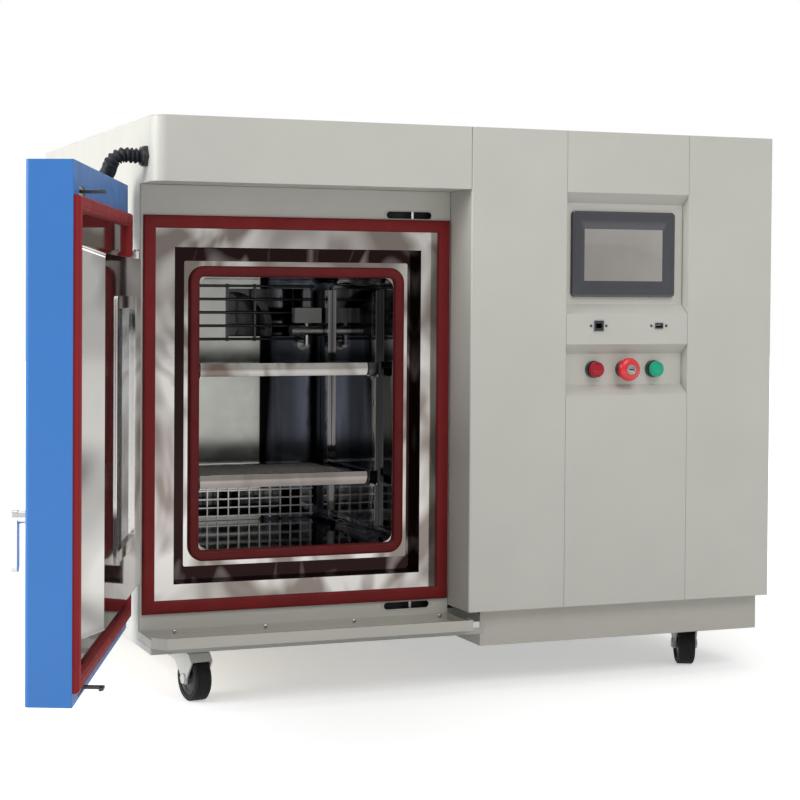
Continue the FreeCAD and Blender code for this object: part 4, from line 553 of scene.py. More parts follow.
class Shop:
    """Holds the frame, and turns finished meshes into pieces that ride on its bodies."""

    def __init__(self) -> None:
        """Load the frame and find the cabinet's corner and the door's swing."""
        self.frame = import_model()
        self.cad_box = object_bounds()
        self.pieces = 0
        low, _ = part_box("header")
        self.zero = Vector((low.x, low.y, 0.0))
        hinge = next(j for j in self.frame["joints"] if j["name"] == "door_hinge")
        pin = Matrix.Translation(Vector(hinge["pos_m"]))
        turn = Matrix.Rotation(-math.radians(hinge["range_deg"][0]), 4, Vector(hinge["axis"]))
        self.swing = pin @ turn @ pin.inverted()

    def matrix(self, body: str) -> Matrix:
        """The matrix from millimetres on a body, with the door closed, to metres in the frame."""
        fixed = Matrix.Translation(self.zero) @ Matrix.Scale(MM, 4)
        return self.swing @ fixed if body in ON_DOOR else fixed

    def spot(self, point: Sequence[float]) -> Vector:
        """A place of the cabinet in the frame."""
        return self.matrix(Body.CABINET) @ Vector(point)

    def piece(self, name: str, mesh: bpy.types.Mesh, body: str, slot: str,
              replaces: Sequence[str] = ()) -> bpy.types.Object:
        """Make a piece of a mesh that already lies in the frame.

        Args:
            name: The piece's name.
            mesh: The mesh, in metres in the frame.
            body: The body that the piece rides on.
            slot: The record's material slot; not used.
            replaces: CAD nodes that the piece stands for.

        Returns:
            The piece.
        """
        mesh.name = name
        piece = bpy.data.objects.new(name, mesh)
        bpy.context.scene.collection.objects.link(piece)
        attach(piece, getattr(body, "value", body))
        if replaces:
            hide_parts(*replaces)
        self.pieces += 1
        log.info("%s: %d faces on %s", name, len(mesh.polygons), body)
        return piece

    def paint(self, finish: Finish, *nodes: str) -> None:
        """Give CAD nodes a finish."""
        for node in nodes:
            for slot in self.frame["nodes"][node].material_slots:
                slot.material = finish.material()

    def dress(self, node: str, name: str, slot: str, finish: Finish,
              zones: Sequence[tuple[Finish, Test]] = ()) -> bpy.types.Object:
        """Replace a CAD node by a merged copy that wears several finishes.

        Args:
            node: The CAD node.
            name: The new piece's name.
            slot: The record's material slot.
            finish: The finish where no zone holds.
            zones: A finish and the test of a face's middle, in millimetres, for each zone.

        Returns:
            The piece.
        """
        source = self.frame["nodes"][node]
        body = source.parent.name.split(":")[-1]
        grid = bmesh.new()
        grid.from_mesh(source.data)
        bmesh.ops.remove_doubles(grid, verts=grid.verts, dist=2e-6)
        inverse = self.matrix(body).inverted()
        for face in grid.faces:
            middle = inverse @ face.calc_center_median()
            face.material_index = next((i + 1 for i, (_, test) in enumerate(zones) if test(middle)), 0)
        mesh = bpy.data.meshes.new(name)
        grid.to_mesh(mesh)
        grid.free()
        if "custom_normal" in mesh.attributes:
            mesh.attributes.remove(mesh.attributes["custom_normal"])
        for entry in (finish, *(zone for zone, _ in zones)):
            mesh.materials.append(entry.material())
        smooth(mesh)
        return self.piece(name, mesh, body, slot, [node])


def smooth(mesh: bpy.types.Mesh) -> None:
    """Shade a mesh smooth except across its sharp edges."""
    mesh.polygons.foreach_set("use_smooth", [True] * len(mesh.polygons))
    mesh.set_sharp_from_angle(angle=math.radians(SHARP))


def outline(rect: Rect, radius: float, steps: int) -> list[tuple[float, float]]:
    """Corner points of a rounded rectangle, anticlockwise.

    Args:
        rect: Left, right, bottom and top.
        radius: Corner radius; 0 gives mitred corners.
        steps: Points on each corner.

    Returns:
        The points.
    """
    x0, x1, z0, z1 = rect
    if steps < 2:
        return [(x0, z0), (x1, z0), (x1, z1), (x0, z1)]
    radius = max(radius, 0.02)
    points = []
    for cx, cz, first in ((x0 + radius, z0 + radius, 180), (x1 - radius, z0 + radius, 270),
                          (x1 - radius, z1 - radius, 0), (x0 + radius, z1 - radius, 90)):
        for i in range(steps):
            a = math.radians(first + 90.0 * i / (steps - 1))
            points.append((cx + radius * math.cos(a), cz + radius * math.sin(a)))
    return points


def upright(rect: Rect, radius: float, steps: int, y: float) -> list[Vector]:
    """The corner points of a rounded rectangle that stands at a depth y and faces the front."""
    return [Vector((x, y, z)) for x, z in outline(rect, radius, steps)]


def inset(rect: Rect, d: float) -> Rect:
    """A rectangle drawn in by a distance on every side."""
    return (rect[0] + d, rect[1] - d, rect[2] + d, rect[3] - d)


class Form:
    """A mesh in millimetres, built of swept, turned and bent shapes."""

    def __init__(self) -> None:
        """Start an empty form."""
        self.grid = bmesh.new()
        self.finishes: list[Finish] = []

    def index(self, finish: Finish) -> int:
        """The material index of a finish."""
        if finish not in self.finishes:
            self.finishes.append(finish)
        return self.finishes.index(finish)

    def skin(self, rows: Sequence[Sequence[Vector]], finish: Finish, loop: bool = False,
             caps: bool = True) -> None:
        """Join closed rows of points into a skin.

        Args:
            rows: Closed rows with the same number of points.
            finish: The skin's finish.
            loop: Whether the last row joins the first one.
            caps: Whether an open skin gets a face at each end.
        """
        index = self.index(finish)
        made = [[self.grid.verts.new(p) for p in row] for row in rows]
        pairs = list(zip(made, made[1:])) + ([(made[-1], made[0])] if loop else [])
        faces = []
        for low, high in pairs:
            for i in range(len(low)):
                k = (i + 1) % len(low)
                faces.append(self.grid.faces.new((low[i], low[k], high[k], high[i])))
        if caps and not loop:
            faces += [self.grid.faces.new(made[0][::-1]), self.grid.faces.new(made[-1])]
        for face in faces:
            face.material_index = index

    def frame(self, rect: Rect, stations: Profile, finish: Finish,
              radius: float = 0.0, steps: int = 1, loop: bool = False) -> None:
        """Sweep stations round a rectangle that faces the front.

        Args:
            rect: Left, right, bottom and top of the outer edge.
            stations: How far in from the edge, and how far back, for each line of the profile.
            finish: The finish.
            radius: Corner radius of the outer edge.
            steps: Points on each corner; 1 gives mitred corners.
            loop: Whether the profile closes on itself, as a gasket's does.
        """
        self.skin([upright(inset(rect, d), radius - d, steps, y) for d, y in stations], finish, loop)

    def turned(self, profile: Profile, base: Sequence[float], way: Vector,
               finish: Finish, steps: int = 32, loop: bool = False) -> None:
        """Turn a profile of radius and height round an axis.

        Args:
            profile: Radius and height of each ring.
            base: Where height 0 is.
            way: Direction of the axis.
            finish: The finish.
            steps: Points on each ring.
            loop: Whether the profile closes on itself.
        """
        spin = way.to_track_quat("Z", "Y").to_matrix().to_4x4()
        move = Matrix.Translation(Vector(base)) @ spin
        rows = [[move @ Vector((r * math.cos(a), r * math.sin(a), h))
                 for a in (math.tau * i / steps for i in range(steps))] for r, h in profile]
        self.skin(rows, finish, loop)

    def bar(self, points: Sequence[Sequence[float]], radius: float, finish: Finish, sides: int = 12) -> None:
        """Sweep a round bar along points, with its ends closed.

        Args:
            points: The bar's middle line.
            radius: Radius of the bar.
            finish: The finish.
            sides: Points on each ring.
        """
        path = [Vector(p) for p in points]
        rows, normal = [], None
        for i, point in enumerate(path):
            ahead = (path[min(i + 1, len(path) - 1)] - path[max(i - 1, 0)]).normalized()
            if normal is None:
                normal = ahead.orthogonal().normalized()
            normal = (normal - ahead * normal.dot(ahead)).normalized()
            side = ahead.cross(normal)
            rows.append([point + (normal * math.cos(a) + side * math.sin(a)) * radius
                         for a in (math.tau * k / sides for k in range(sides))])
        self.skin(rows, finish)

    def block(self, x0: float, x1: float, y0: float, y1: float, z0: float, z1: float,
              finish: Finish, edge: float = 0.8) -> None:
        """Add a moulded block with softened edges.

        Args:
            x0: Left side.
            x1: Right side.
            y0: Front.
            y1: Back.
            z0: Underside.
            z1: Top.
            finish: The finish.
            edge: Width of the softened edges.
        """
        index = self.index(finish)
        middle = Matrix.Translation(((x0 + x1) / 2, (y0 + y1) / 2, (z0 + z1) / 2))
        move = middle @ Matrix.Diagonal((x1 - x0, y1 - y0, z1 - z0, 1.0))
        made = bmesh.ops.create_cube(self.grid, size=1.0, matrix=move)["verts"]
        edges = list({e for v in made for e in v.link_edges})
        result = bmesh.ops.bevel(self.grid, geom=edges, offset=edge, segments=2, affect="EDGES", profile=0.5)
        for face in {f for v in result["verts"] for f in v.link_faces}:
            face.material_index = index

    def mesh(self, shop: Shop, body: str) -> bpy.types.Mesh:
        """Close the form as a mesh in the frame.

        Args:
            shop: The shop that holds the frame.
            body: The body that the mesh is for.

        Returns:
            The mesh.
        """
        bmesh.ops.remove_doubles(self.grid, verts=self.grid.verts, dist=1e-4)
        bmesh.ops.recalc_face_normals(self.grid, faces=self.grid.faces)
        self.grid.transform(shop.matrix(body))
        mesh = bpy.data.meshes.new("form")
        self.grid.to_mesh(mesh)
        self.grid.free()
        for finish in self.finishes:
            mesh.materials.append(finish.material())
        smooth(mesh)
        return mesh

    def piece(self, shop: Shop, name: str, body: str, slot: str,
              replaces: Sequence[str] = ()) -> bpy.types.Object:
        """Close the form as a piece that rides on a body."""
        return shop.piece(name, self.mesh(shop, body), body, slot, replaces)


# ---- repeated shapes by Geometry Nodes -----------------------------------------------


class Graph:
    """A Geometry Nodes tree that is written in code and baked into a plain mesh."""

    KINDS = {float: "NodeSocketFloat", int: "NodeSocketInt", Vector: "NodeSocketVector",
             bpy.types.Material: "NodeSocketMaterial", bpy.types.Object: "NodeSocketObject"}

    def __init__(self, name: str, inputs: dict[str, type]) -> None:
        """Start a tree.

        Args:
            name: The tree's name.
            inputs: Name and kind of each input.
        """
        self.tree = bpy.data.node_groups.new(name, "GeometryNodeTree")
        face = self.tree.interface
        face.new_socket("Geometry", in_out="OUTPUT", socket_type="NodeSocketGeometry")
        face.new_socket("Geometry", in_out="INPUT", socket_type="NodeSocketGeometry")
        self.names = {label: face.new_socket(label, in_out="INPUT", socket_type=self.KINDS[kind]).identifier
                      for label, kind in inputs.items()}
        self.start = self.tree.nodes.new("NodeGroupInput").outputs
        self.end = self.tree.nodes.new("NodeGroupOutput").inputs

    def add(self, kind: str, props: Optional[dict[str, object]] = None,
            **inputs: object) -> bpy.types.NodeOutputs:
        """Add a node.

        Args:
            kind: The node's type.
            props: Settings of the node itself.
            inputs: A value or a socket for each input; underscores stand for spaces, and i0, i1 and i2
                for inputs that share a name.

        Returns:
            The node's outputs.
        """
        node = self.tree.nodes.new(kind)
        for label, value in (props or {}).items():
            setattr(node, label, value)
        for label, value in inputs.items():
            key = int(label[1:]) if label[0] == "i" and label[1:].isdigit() else label.replace("_", " ")
            if isinstance(value, Socket):
                self.tree.links.new(value, node.inputs[key])
            else:
                node.inputs[key].default_value = value
        return node.outputs

    def sum(self, operation: str, first: object, second: object = 0.0) -> Socket:
        """A math node on two values or sockets."""
        return self.add("ShaderNodeMath", {"operation": operation}, i0=first, i1=second)[0]

    def close(self, geometry: Socket) -> None:
        """End the tree in Realize Instances and Set Material."""
        real = self.add("GeometryNodeRealizeInstances", Geometry=geometry)[0]
        dressed = self.add("GeometryNodeSetMaterial", Geometry=real, Material=self.start["Material"])[0]
        self.tree.links.new(dressed, self.end["Geometry"])

    def bake(self, source: bpy.types.ID, **values: object) -> bpy.types.Mesh:
        """Run the tree on a mesh or curve and keep the result as a plain mesh.

        Args:
            source: The mesh or curve that enters the tree.
            values: The inputs' values; underscores stand for spaces.

        Returns:
            The baked mesh.
        """
        carrier = bpy.data.objects.new("carrier", source)
        bpy.context.scene.collection.objects.link(carrier)
        run = carrier.modifiers.new("run", "NODES")
        run.node_group = self.tree
        for label, value in values.items():
            run[self.names[label.replace("_", " ")]] = value
        graph = bpy.context.evaluated_depsgraph_get()
        mesh = bpy.data.meshes.new_from_object(carrier.evaluated_get(graph), preserve_all_data_layers=True,
                                               depsgraph=graph)
        bpy.data.objects.remove(carrier)
        smooth(mesh)
        return mesh


def points_mesh(places: Sequence[Vector], way: Vector) -> bpy.types.Mesh:
    """A mesh of loose points that face one direction.

    Args:
        places: The points.
        way: The direction.

    Returns:
        The mesh.
    """
    mesh = bpy.data.meshes.new("places")
    mesh.from_pydata([tuple(p) for p in places], [], [])
    facing = mesh.attributes.new("facing", "FLOAT_VECTOR", "POINT")
    facing.data.foreach_set("vector", [*way] * len(places))
    return mesh


class Fasteners:
    """Screws and rivets: one head, set on every place that it is given."""

    def __init__(self, shop: Shop) -> None:
        """Write the tree that sets heads on places."""
        self.shop = shop
        self.graph = Graph("set_heads", {"Head": bpy.types.Object, "Size": float,
                                         "Material": bpy.types.Material})
        g = self.graph
        head = g.add("GeometryNodeObjectInfo", Object=g.start["Head"])["Geometry"]
        facing = g.add("GeometryNodeInputNamedAttribute", {"data_type": "FLOAT_VECTOR"},
                       Name="facing")["Attribute"]
        turn = g.add("FunctionNodeAlignRotationToVector", {"axis": "Z"}, Vector=facing)["Rotation"]
        spots = g.add("GeometryNodeMeshToPoints", Mesh=g.start["Geometry"])[0]
        g.close(g.add("GeometryNodeInstanceOnPoints", Points=spots, Instance=head, Rotation=turn,
                      Scale=g.start["Size"])[0])
        self.head = self.cross_head()

    @staticmethod
    def cross_head() -> bpy.types.Object:
        """Make a pan head with a cross, 1 in radius and facing up, on an object outside the scene."""
        form = bmesh.new()
        sides, deep, half, reach = 16, 0.3, 0.09, 0.42
        profile = [(1.0, -0.05), (1.0, 0.12), (0.93, 0.3), (0.74, 0.5), (0.52, 0.6)]
        rows = [[form.verts.new((r * math.cos(math.tau * i / sides), r * math.sin(math.tau * i / sides), h))
                 for i in range(sides)] for r, h in profile]
        top = profile[-1][1]
        arm = [(half, reach), (half, half), (reach, half)]
        right = arm + [(x, -y) for x, y in arm[::-1]]
        cross = right + [(-x, -y) for x, y in right]
        rim = [form.verts.new((x, y, top)) for x, y in cross]
        floor = [form.verts.new((x * 0.8, y * 0.8, top - deep)) for x, y in cross]
        for low, high in [*zip(rows, rows[1:]), (rim, floor)]:
            for i in range(len(low)):
                k = (i + 1) % len(low)
                form.faces.new((low[i], low[k], high[k], high[i]))
        form.faces.new(rows[0][::-1])
        form.faces.new(floor)
        edges = [form.edges.get((ring[i], ring[(i + 1) % len(ring)]))
                 for ring in (rows[-1], rim) for i in range(len(ring))]
        bmesh.ops.triangle_fill(form, edges=edges, use_beauty=True)
        bmesh.ops.recalc_face_normals(form, faces=form.faces)
        mesh = bpy.data.meshes.new("head")
        form.to_mesh(mesh)
        form.free()
        return bpy.data.objects.new("head", mesh)

    def place(self, name: str, body: str, places: Sequence[Sequence[float]], way: Way, radius: float,
              finish: Optional[Finish] = None, slot: str = "stainless_wire") -> bpy.types.Object:
        """Set heads on places of a body.

        Args:
            name: The piece's name.
            body: The body that carries them.
            places: Millimetres on the body, with the door closed.
            way: The direction that the heads face.
            radius: Radius of a head in millimetres.
            finish: The heads' finish; bright screw steel where none is given.
            slot: The record's material slot.

        Returns:
            The piece.
        """
        move = self.shop.matrix(body)
        facing = move.to_3x3().normalized() @ way.vector()
        mesh = self.graph.bake(points_mesh([move @ Vector(p) for p in places], facing), Head=self.head,
                               Size=radius * MM, Material=(finish or SCREW_STEEL).material())
        return self.shop.piece(name, mesh, body, slot)


# ---- the chamber's sub-assemblies ----------------------------------------------------


@dataclass
class Cabinet:
    """Painted sheet panels, skirt, drip tray and the screws that hold them."""

    shop: Shop
    width: float = 1150.0
    depth: float = 820.0
    tray_line: float = 116.0
    tray_screws: Sequence[float] = (62.0, 220.0, 380.0, 540.0)
    recess_y: float = 83.0
    sheet: float = 1.6
    slot_x: float = 477.0
    slot_lines: tuple[float, float] = (138.0, 808.0)
    slot_half: tuple[float, float] = (47.0, 8.6)
    strike_x: float = 485.0
    pocket_x: float = 400.0
    pocket_reach: tuple[float, float] = (22.0, 18.0)
    rim: Profile = ((0.0, 0.05), (0.4, -0.45), (1.0, -0.6), (1.8, -0.45), (2.2, 0.05))
    rear_columns: Sequence[float] = (14.0, 200.0, 386.0, 572.0, 764.0, 950.0, 1136.0)
    rear_rows: Sequence[float] = (140.0, 944.0)
    edge_rows: Sequence[float] = (300.0, 460.0, 620.0, 780.0)
    side_columns: Sequence[float] = (44.0, 300.0, 550.0, 800.0)
    side_rows: Sequence[float] = (147.0, 941.0)

    def build(self, screws: Fasteners) -> None:
        """Dress the case.

        Args:
            screws: Sets the screws.
        """
        shop = self.shop
        shop.paint(WHITE_PAINT, "left_side_panel", "right_side_panel", "rear_panel", "top_panel", "header",
                   "column_panels", "control_panel", "front_frame")
        shop.paint(SHADED_TRAY_PAINT, "drip_tray", "base_skirt")
        shop.paint(FRAME_PAINT, "base_frame")
        # The strike pockets behind the latch slots get near-black painted shade; the strike pins keep bright
        # steel.
        shop.dress("front_frame", "front_frame_dressed", "cabinet_paint", WHITE_PAINT,
                   [(PIN_STEEL, self.on_strike), (SLOT_SHADE, self.in_pocket)])
        self.slot_covers()
        tray = [(x, self.recess_y, self.tray_line) for x in self.tray_screws]
        screws.place("tray_screws", Body.CABINET, tray, Way.FRONT, 4.2, slot="cabinet_paint")
        rear = [(x, self.depth, z) for x in self.rear_columns for z in self.rear_rows]
        ends = (self.rear_columns[0], self.rear_columns[-1])
        rear += [(x, self.depth, z) for x in ends for z in self.edge_rows]
        screws.place("rear_screws", Body.CABINET, rear, Way.BACK, 3.6)
        side = [(self.width, y, z) for y in self.side_columns for z in self.side_rows]
        screws.place("side_screws", Body.CABINET, side, Way.RIGHT, 3.6)

    def in_pocket(self, p: Vector) -> bool:
        """Whether a place lies behind the front frame, in a strike pocket."""
        (low, high), (above, below) = self.slot_lines, self.pocket_reach
        return (p.y > self.recess_y + self.sheet and p.x > self.pocket_x
                and (p.z < low + above or p.z > high - below))

    def on_strike(self, p: Vector) -> bool:
        """Whether a place lies on a strike pin."""
        back, off = p.y - self.recess_y - self.sheet, min(abs(p.z - z) for z in self.slot_lines)
        return 0.0 < back < 9.0 and abs(p.x - self.strike_x) < 3.6 and off < 7.0

    def slot_covers(self) -> None:
        """Raise the pressed rim round each latch slot."""
        form = Form()
        half_x, half_z = self.slot_half
        for z in self.slot_lines:
            rect = (self.slot_x - half_x, self.slot_x + half_x, z - half_z, z + half_z)
            form.frame(rect, [(d, self.recess_y + y) for d, y in self.rim], WHITE_PAINT,
                       radius=half_z, steps=9, loop=True)
        form.piece(self.shop, "latch_slot_rims", Body.CABINET, "cabinet_paint")


@dataclass
class Seals:
    """The three silicone gaskets, with their bulbs."""

    shop: Shop
    outer: Rect = (6.0, 552.0, 147.0, 800.0)
    on_door: Rect = (4.5, 545.0, 147.0, 800.0)
    inner: Rect = (91.0, 477.0, 227.0, 718.0)
    width: float = 21.0
    inner_width: float = 18.0
    outer_seat: float = 83.0
    door_seat: float = 66.0
    inner_seat: float = 107.0
    seam: Profile = ((0.04, 77.6), (0.16, 76.35), (0.6, 76.05), (0.96, 78.6))   # share of the width, Y

    def profile(self, width: float, base: float, rise: float) -> list[tuple[float, float]]:
        """The gasket's section: a flat crown that rolls off to both edges.

        Args:
            width: Width of the gasket.
            base: Y of the face that it is seated on.
            rise: Y from there to the bulb's crown; negative towards the front.

        Returns:
            How far in, and Y, for each line of the section.
        """
        share = [(0.0, 0.0), (0.0, 0.5), (0.025, 0.7), (0.08, 0.86), (0.16, 0.95), (0.3, 1.0), (0.5, 1.0),
                 (0.66, 0.98), (0.69, 0.93), (0.72, 0.93), (0.75, 0.96), (0.86, 0.88), (0.94, 0.72),
                 (0.985, 0.45), (1.0, 0.0)]
        return [(width * u, base + rise * v) for u, v in share]

    def build(self) -> None:
        """Make the gaskets."""
        outer = self.profile(self.width, self.outer_seat, -7.0)
        on_door = self.profile(self.width, self.door_seat, 9.6)
        for name, body, rect, section, node, finish in (
                ("outer_seal", Body.CABINET, self.outer, outer, "cabinet_gasket", RED_SILICONE),
                ("door_seal", Body.DOOR, self.on_door, on_door, "door_gasket", LIT_DOOR_SILICONE)):
            form = Form()
            form.frame(rect, section, finish, loop=True)
            form.piece(self.shop, name, body, "red_silicone", [node])
        seams = Form()
        x0, x1, z0, z1 = self.outer
        for x, z, dx, dz in ((x0, z0, 1, 1), (x1, z0, -1, 1), (x0, z1, 1, -1), (x1, z1, -1, -1)):
            line = [(x + dx * self.width * s, y, z + dz * self.width * s) for s, y in self.seam]
            seams.bar(line, 0.4, SEAM_RED, 6)
        seams.piece(self.shop, "seal_seams", Body.CABINET, "red_silicone")
        form = Form()
        form.frame(self.inner, self.profile(self.inner_width, self.inner_seat, -8.5), SHADED_INNER_SILICONE,
                   radius=26.0, steps=9, loop=True)
        form.piece(self.shop, "workspace_seal", Body.CABINET, "red_silicone", ["inner_gasket"])


@dataclass
class Workspace:
    """Polished throat and liner, air duct panel, uprights, probe and the guards of the air openings."""

    shop: Shop
    guard_line: float = 450.0
    probe_line: float = 615.0
    throat: Rect = (60.0, 500.0, 194.0, 748.0)
    throat_y: tuple[float, float] = (84.5, 106.9)
    throat_corner: float = 8.0
    trim: float = 8.0
    trim_corner: float = 3.0
    trim_shift: tuple[float, float, float] = (8.0, 2.0, 1.0)            # at the right, below and above
    seal_gap: float = 31.0

    def build(self) -> None:
        """Dress the workspace."""
        shop = self.shop
        shop.paint(THROAT_STEEL, "door_throat")
        self.lining()
        shop.paint(UPRIGHT_STEEL, "shelf_uprights")
        shop.paint(WORKSPACE_STEEL, "inner_liner")
        shop.paint(DUCT_STEEL, "duct_panel")
        shop.paint(SATIN_STEEL, "cable_sleeve", "drain_pipe")
        shop.paint(BLACK_ENAMEL, "circulation_fan")
        shop.dress("air_guards", "air_guards_dressed", "stainless_wire", SATIN_STEEL,
                   [(BLACK_ENAMEL, lambda p: p.z > self.guard_line)])
        shop.dress("sensor_bar", "probe_dressed", "stainless_wire", SATIN_STEEL,
                   [(HOUSING_GREY, lambda p: p.z > self.probe_line)])

    def lining(self) -> None:
        """Line the throat's walls and step, up to the bright trim round the inner gasket."""
        form = Form()
        thick = 0.05
        front, back = self.throat_y
        left, right, low, high = self.throat
        gap = self.seal_gap - self.trim
        beside, below, above = self.trim_shift
        inner = (left + gap, right - (gap - beside), low + gap + below, high - gap + above)
        wide, tight = self.throat_corner, self.trim_corner
        inside, outside = inset(self.throat, 3 * thick), inset(self.throat, thick)
        stations = ((inside, wide, front), (inside, wide, back), (inner, tight, back),
                    (inner, tight, back + thick), (outside, wide, back + thick), (outside, wide, front))
        form.skin([upright(rect, radius, 5, y) for rect, radius, y in stations], LINING_STEEL, loop=True)
        form.piece(self.shop, "throat_lining", Body.CABINET, "polished_steel")


@dataclass
class Shelves:
    """Two pull-out shelves of diamond mesh in a bent frame."""

    shop: Shop
    pair: tuple[tuple[str, str, str, float, Finish], ...] = (
        ("lower_shelf", "shelf_lower", Body.SHELF_LOW, 353.0, SHADED_STRIP_STEEL),
        ("upper_shelf", "shelf_upper", Body.SHELF_HIGH, 542.0, STRIP_STEEL))
    rect: Rect = (122.0, 446.0, 140.0, 440.0)
    strip: float = 22.0
    rim: float = 16.0
    gauge: float = 1.5
    flange: float = 13.0
    cell: tuple[float, float] = (16.0, 9.0)
    strand: float = 0.6

    def mesh_tree(self) -> Graph:
        """Write the tree that tiles a rectangle with diamonds of strand."""
        g = Graph("diamond_mesh", {"Width": float, "Length": float, "Columns": int, "Rows": int,
                                   "Strand": float, "Material": bpy.types.Material})
        cell_x = g.sum("DIVIDE", g.start["Width"], g.start["Columns"])
        cell_y = g.sum("DIVIDE", g.start["Length"], g.start["Rows"])
        strands = g.add("GeometryNodeJoinGeometry")
        join = strands[0].node
        half_x = g.sum("MULTIPLY", cell_x, 0.5)
        ring = g.add("GeometryNodeCurvePrimitiveCircle", Resolution=4, Radius=g.start["Strand"])["Curve"]
        for side in (-0.5, 0.5):
            reach = g.sum("MULTIPLY", cell_y, side)
            middle = g.add("ShaderNodeCombineXYZ", X=half_x)[0]
            for end in (g.add("ShaderNodeCombineXYZ", Y=reach)[0],
                        g.add("ShaderNodeCombineXYZ", X=cell_x, Y=reach)[0]):
                line = g.add("GeometryNodeCurvePrimitiveLine", Start=middle, End=end)[0]
                strand = g.add("GeometryNodeCurveToMesh", Curve=line, Profile_Curve=ring, Fill_Caps=True)[0]
                g.tree.links.new(strand, join.inputs[0])
        cells = g.add("GeometryNodeMeshLine", {"mode": "OFFSET"}, Count=g.start["Columns"],
                      Offset=g.add("ShaderNodeCombineXYZ", X=cell_x)[0])[0]
        row = g.add("GeometryNodeInstanceOnPoints", Points=cells, Instance=join.outputs[0])[0]
        lines = g.add("GeometryNodeMeshLine", {"mode": "OFFSET"}, Count=g.start["Rows"],
                      Offset=g.add("ShaderNodeCombineXYZ", Y=cell_y)[0])[0]
        field_of = g.add("GeometryNodeInstanceOnPoints", Points=lines, Instance=row)[0]
        spots = g.add("GeometryNodeMeshToPoints", Mesh=g.start["Geometry"])[0]
        g.close(g.add("GeometryNodeInstanceOnPoints", Points=spots, Instance=field_of)[0])
        return g

    def build(self) -> None:
        """Make both shelves."""
        g = self.mesh_tree()
        x0, x1, y0, y1 = self.rect
        for name, node, body, top, strip in self.pair:
            width, length = x1 - x0 - 2 * self.rim + 4.0, y1 - y0 - 2 * self.rim + 4.0
            columns, rows = round(width / self.cell[0]), round(length / self.cell[1])
            corner = self.shop.spot((x0 + self.rim - 2.0, y0 + self.rim - 2.0 + length / rows / 2, top - 1.1))
            mesh = g.bake(points_mesh([corner], Vector((0.0, 0.0, 1.0))), Width=width * MM,
                          Length=length * MM, Columns=columns, Rows=rows, Strand=self.strand * MM,
                          Material=STRAND_STEEL.material())
            form = Form()
            self.frame_of(form, top, strip)
            form.piece(self.shop, name, body, "polished_steel", [node])
            self.shop.piece(name + "_mesh", mesh, body, "stainless_wire")

    def frame_of(self, form: Form, top: float, strip: Finish) -> None:
        """Bend the shelf's rim, front strip and side flanges.

        Args:
            form: The form to build in.
            top: Z of the shelf's upper face.
            strip: Finish of the front strip.
        """
        (x0, x1, y0, y1), gauge, rim = self.rect, self.gauge, self.rim
        low, high = top - self.strip / 2 + 1.0, top + self.strip / 2 + 1.0
        form.block(x0, x1, y0, y0 + gauge, low, high, strip, 0.5)
        form.block(x0, x1, y0 + gauge, y0 + 5.0, high - gauge, high, strip, 0.4)
        for a, b, c, d in ((x0, x1, y0 + gauge, y0 + rim), (x0, x1, y1 - rim, y1),
                           (x0, x0 + rim, y0 + rim, y1 - rim), (x1 - rim, x1, y0 + rim, y1 - rim)):
            form.block(a, b, c, d, top - gauge, top, POLISHED, 0.4)
        for x in (x0, x1 - gauge):
            form.block(x, x + gauge, y0 + gauge, y1, top - self.flange, top, POLISHED, 0.4)


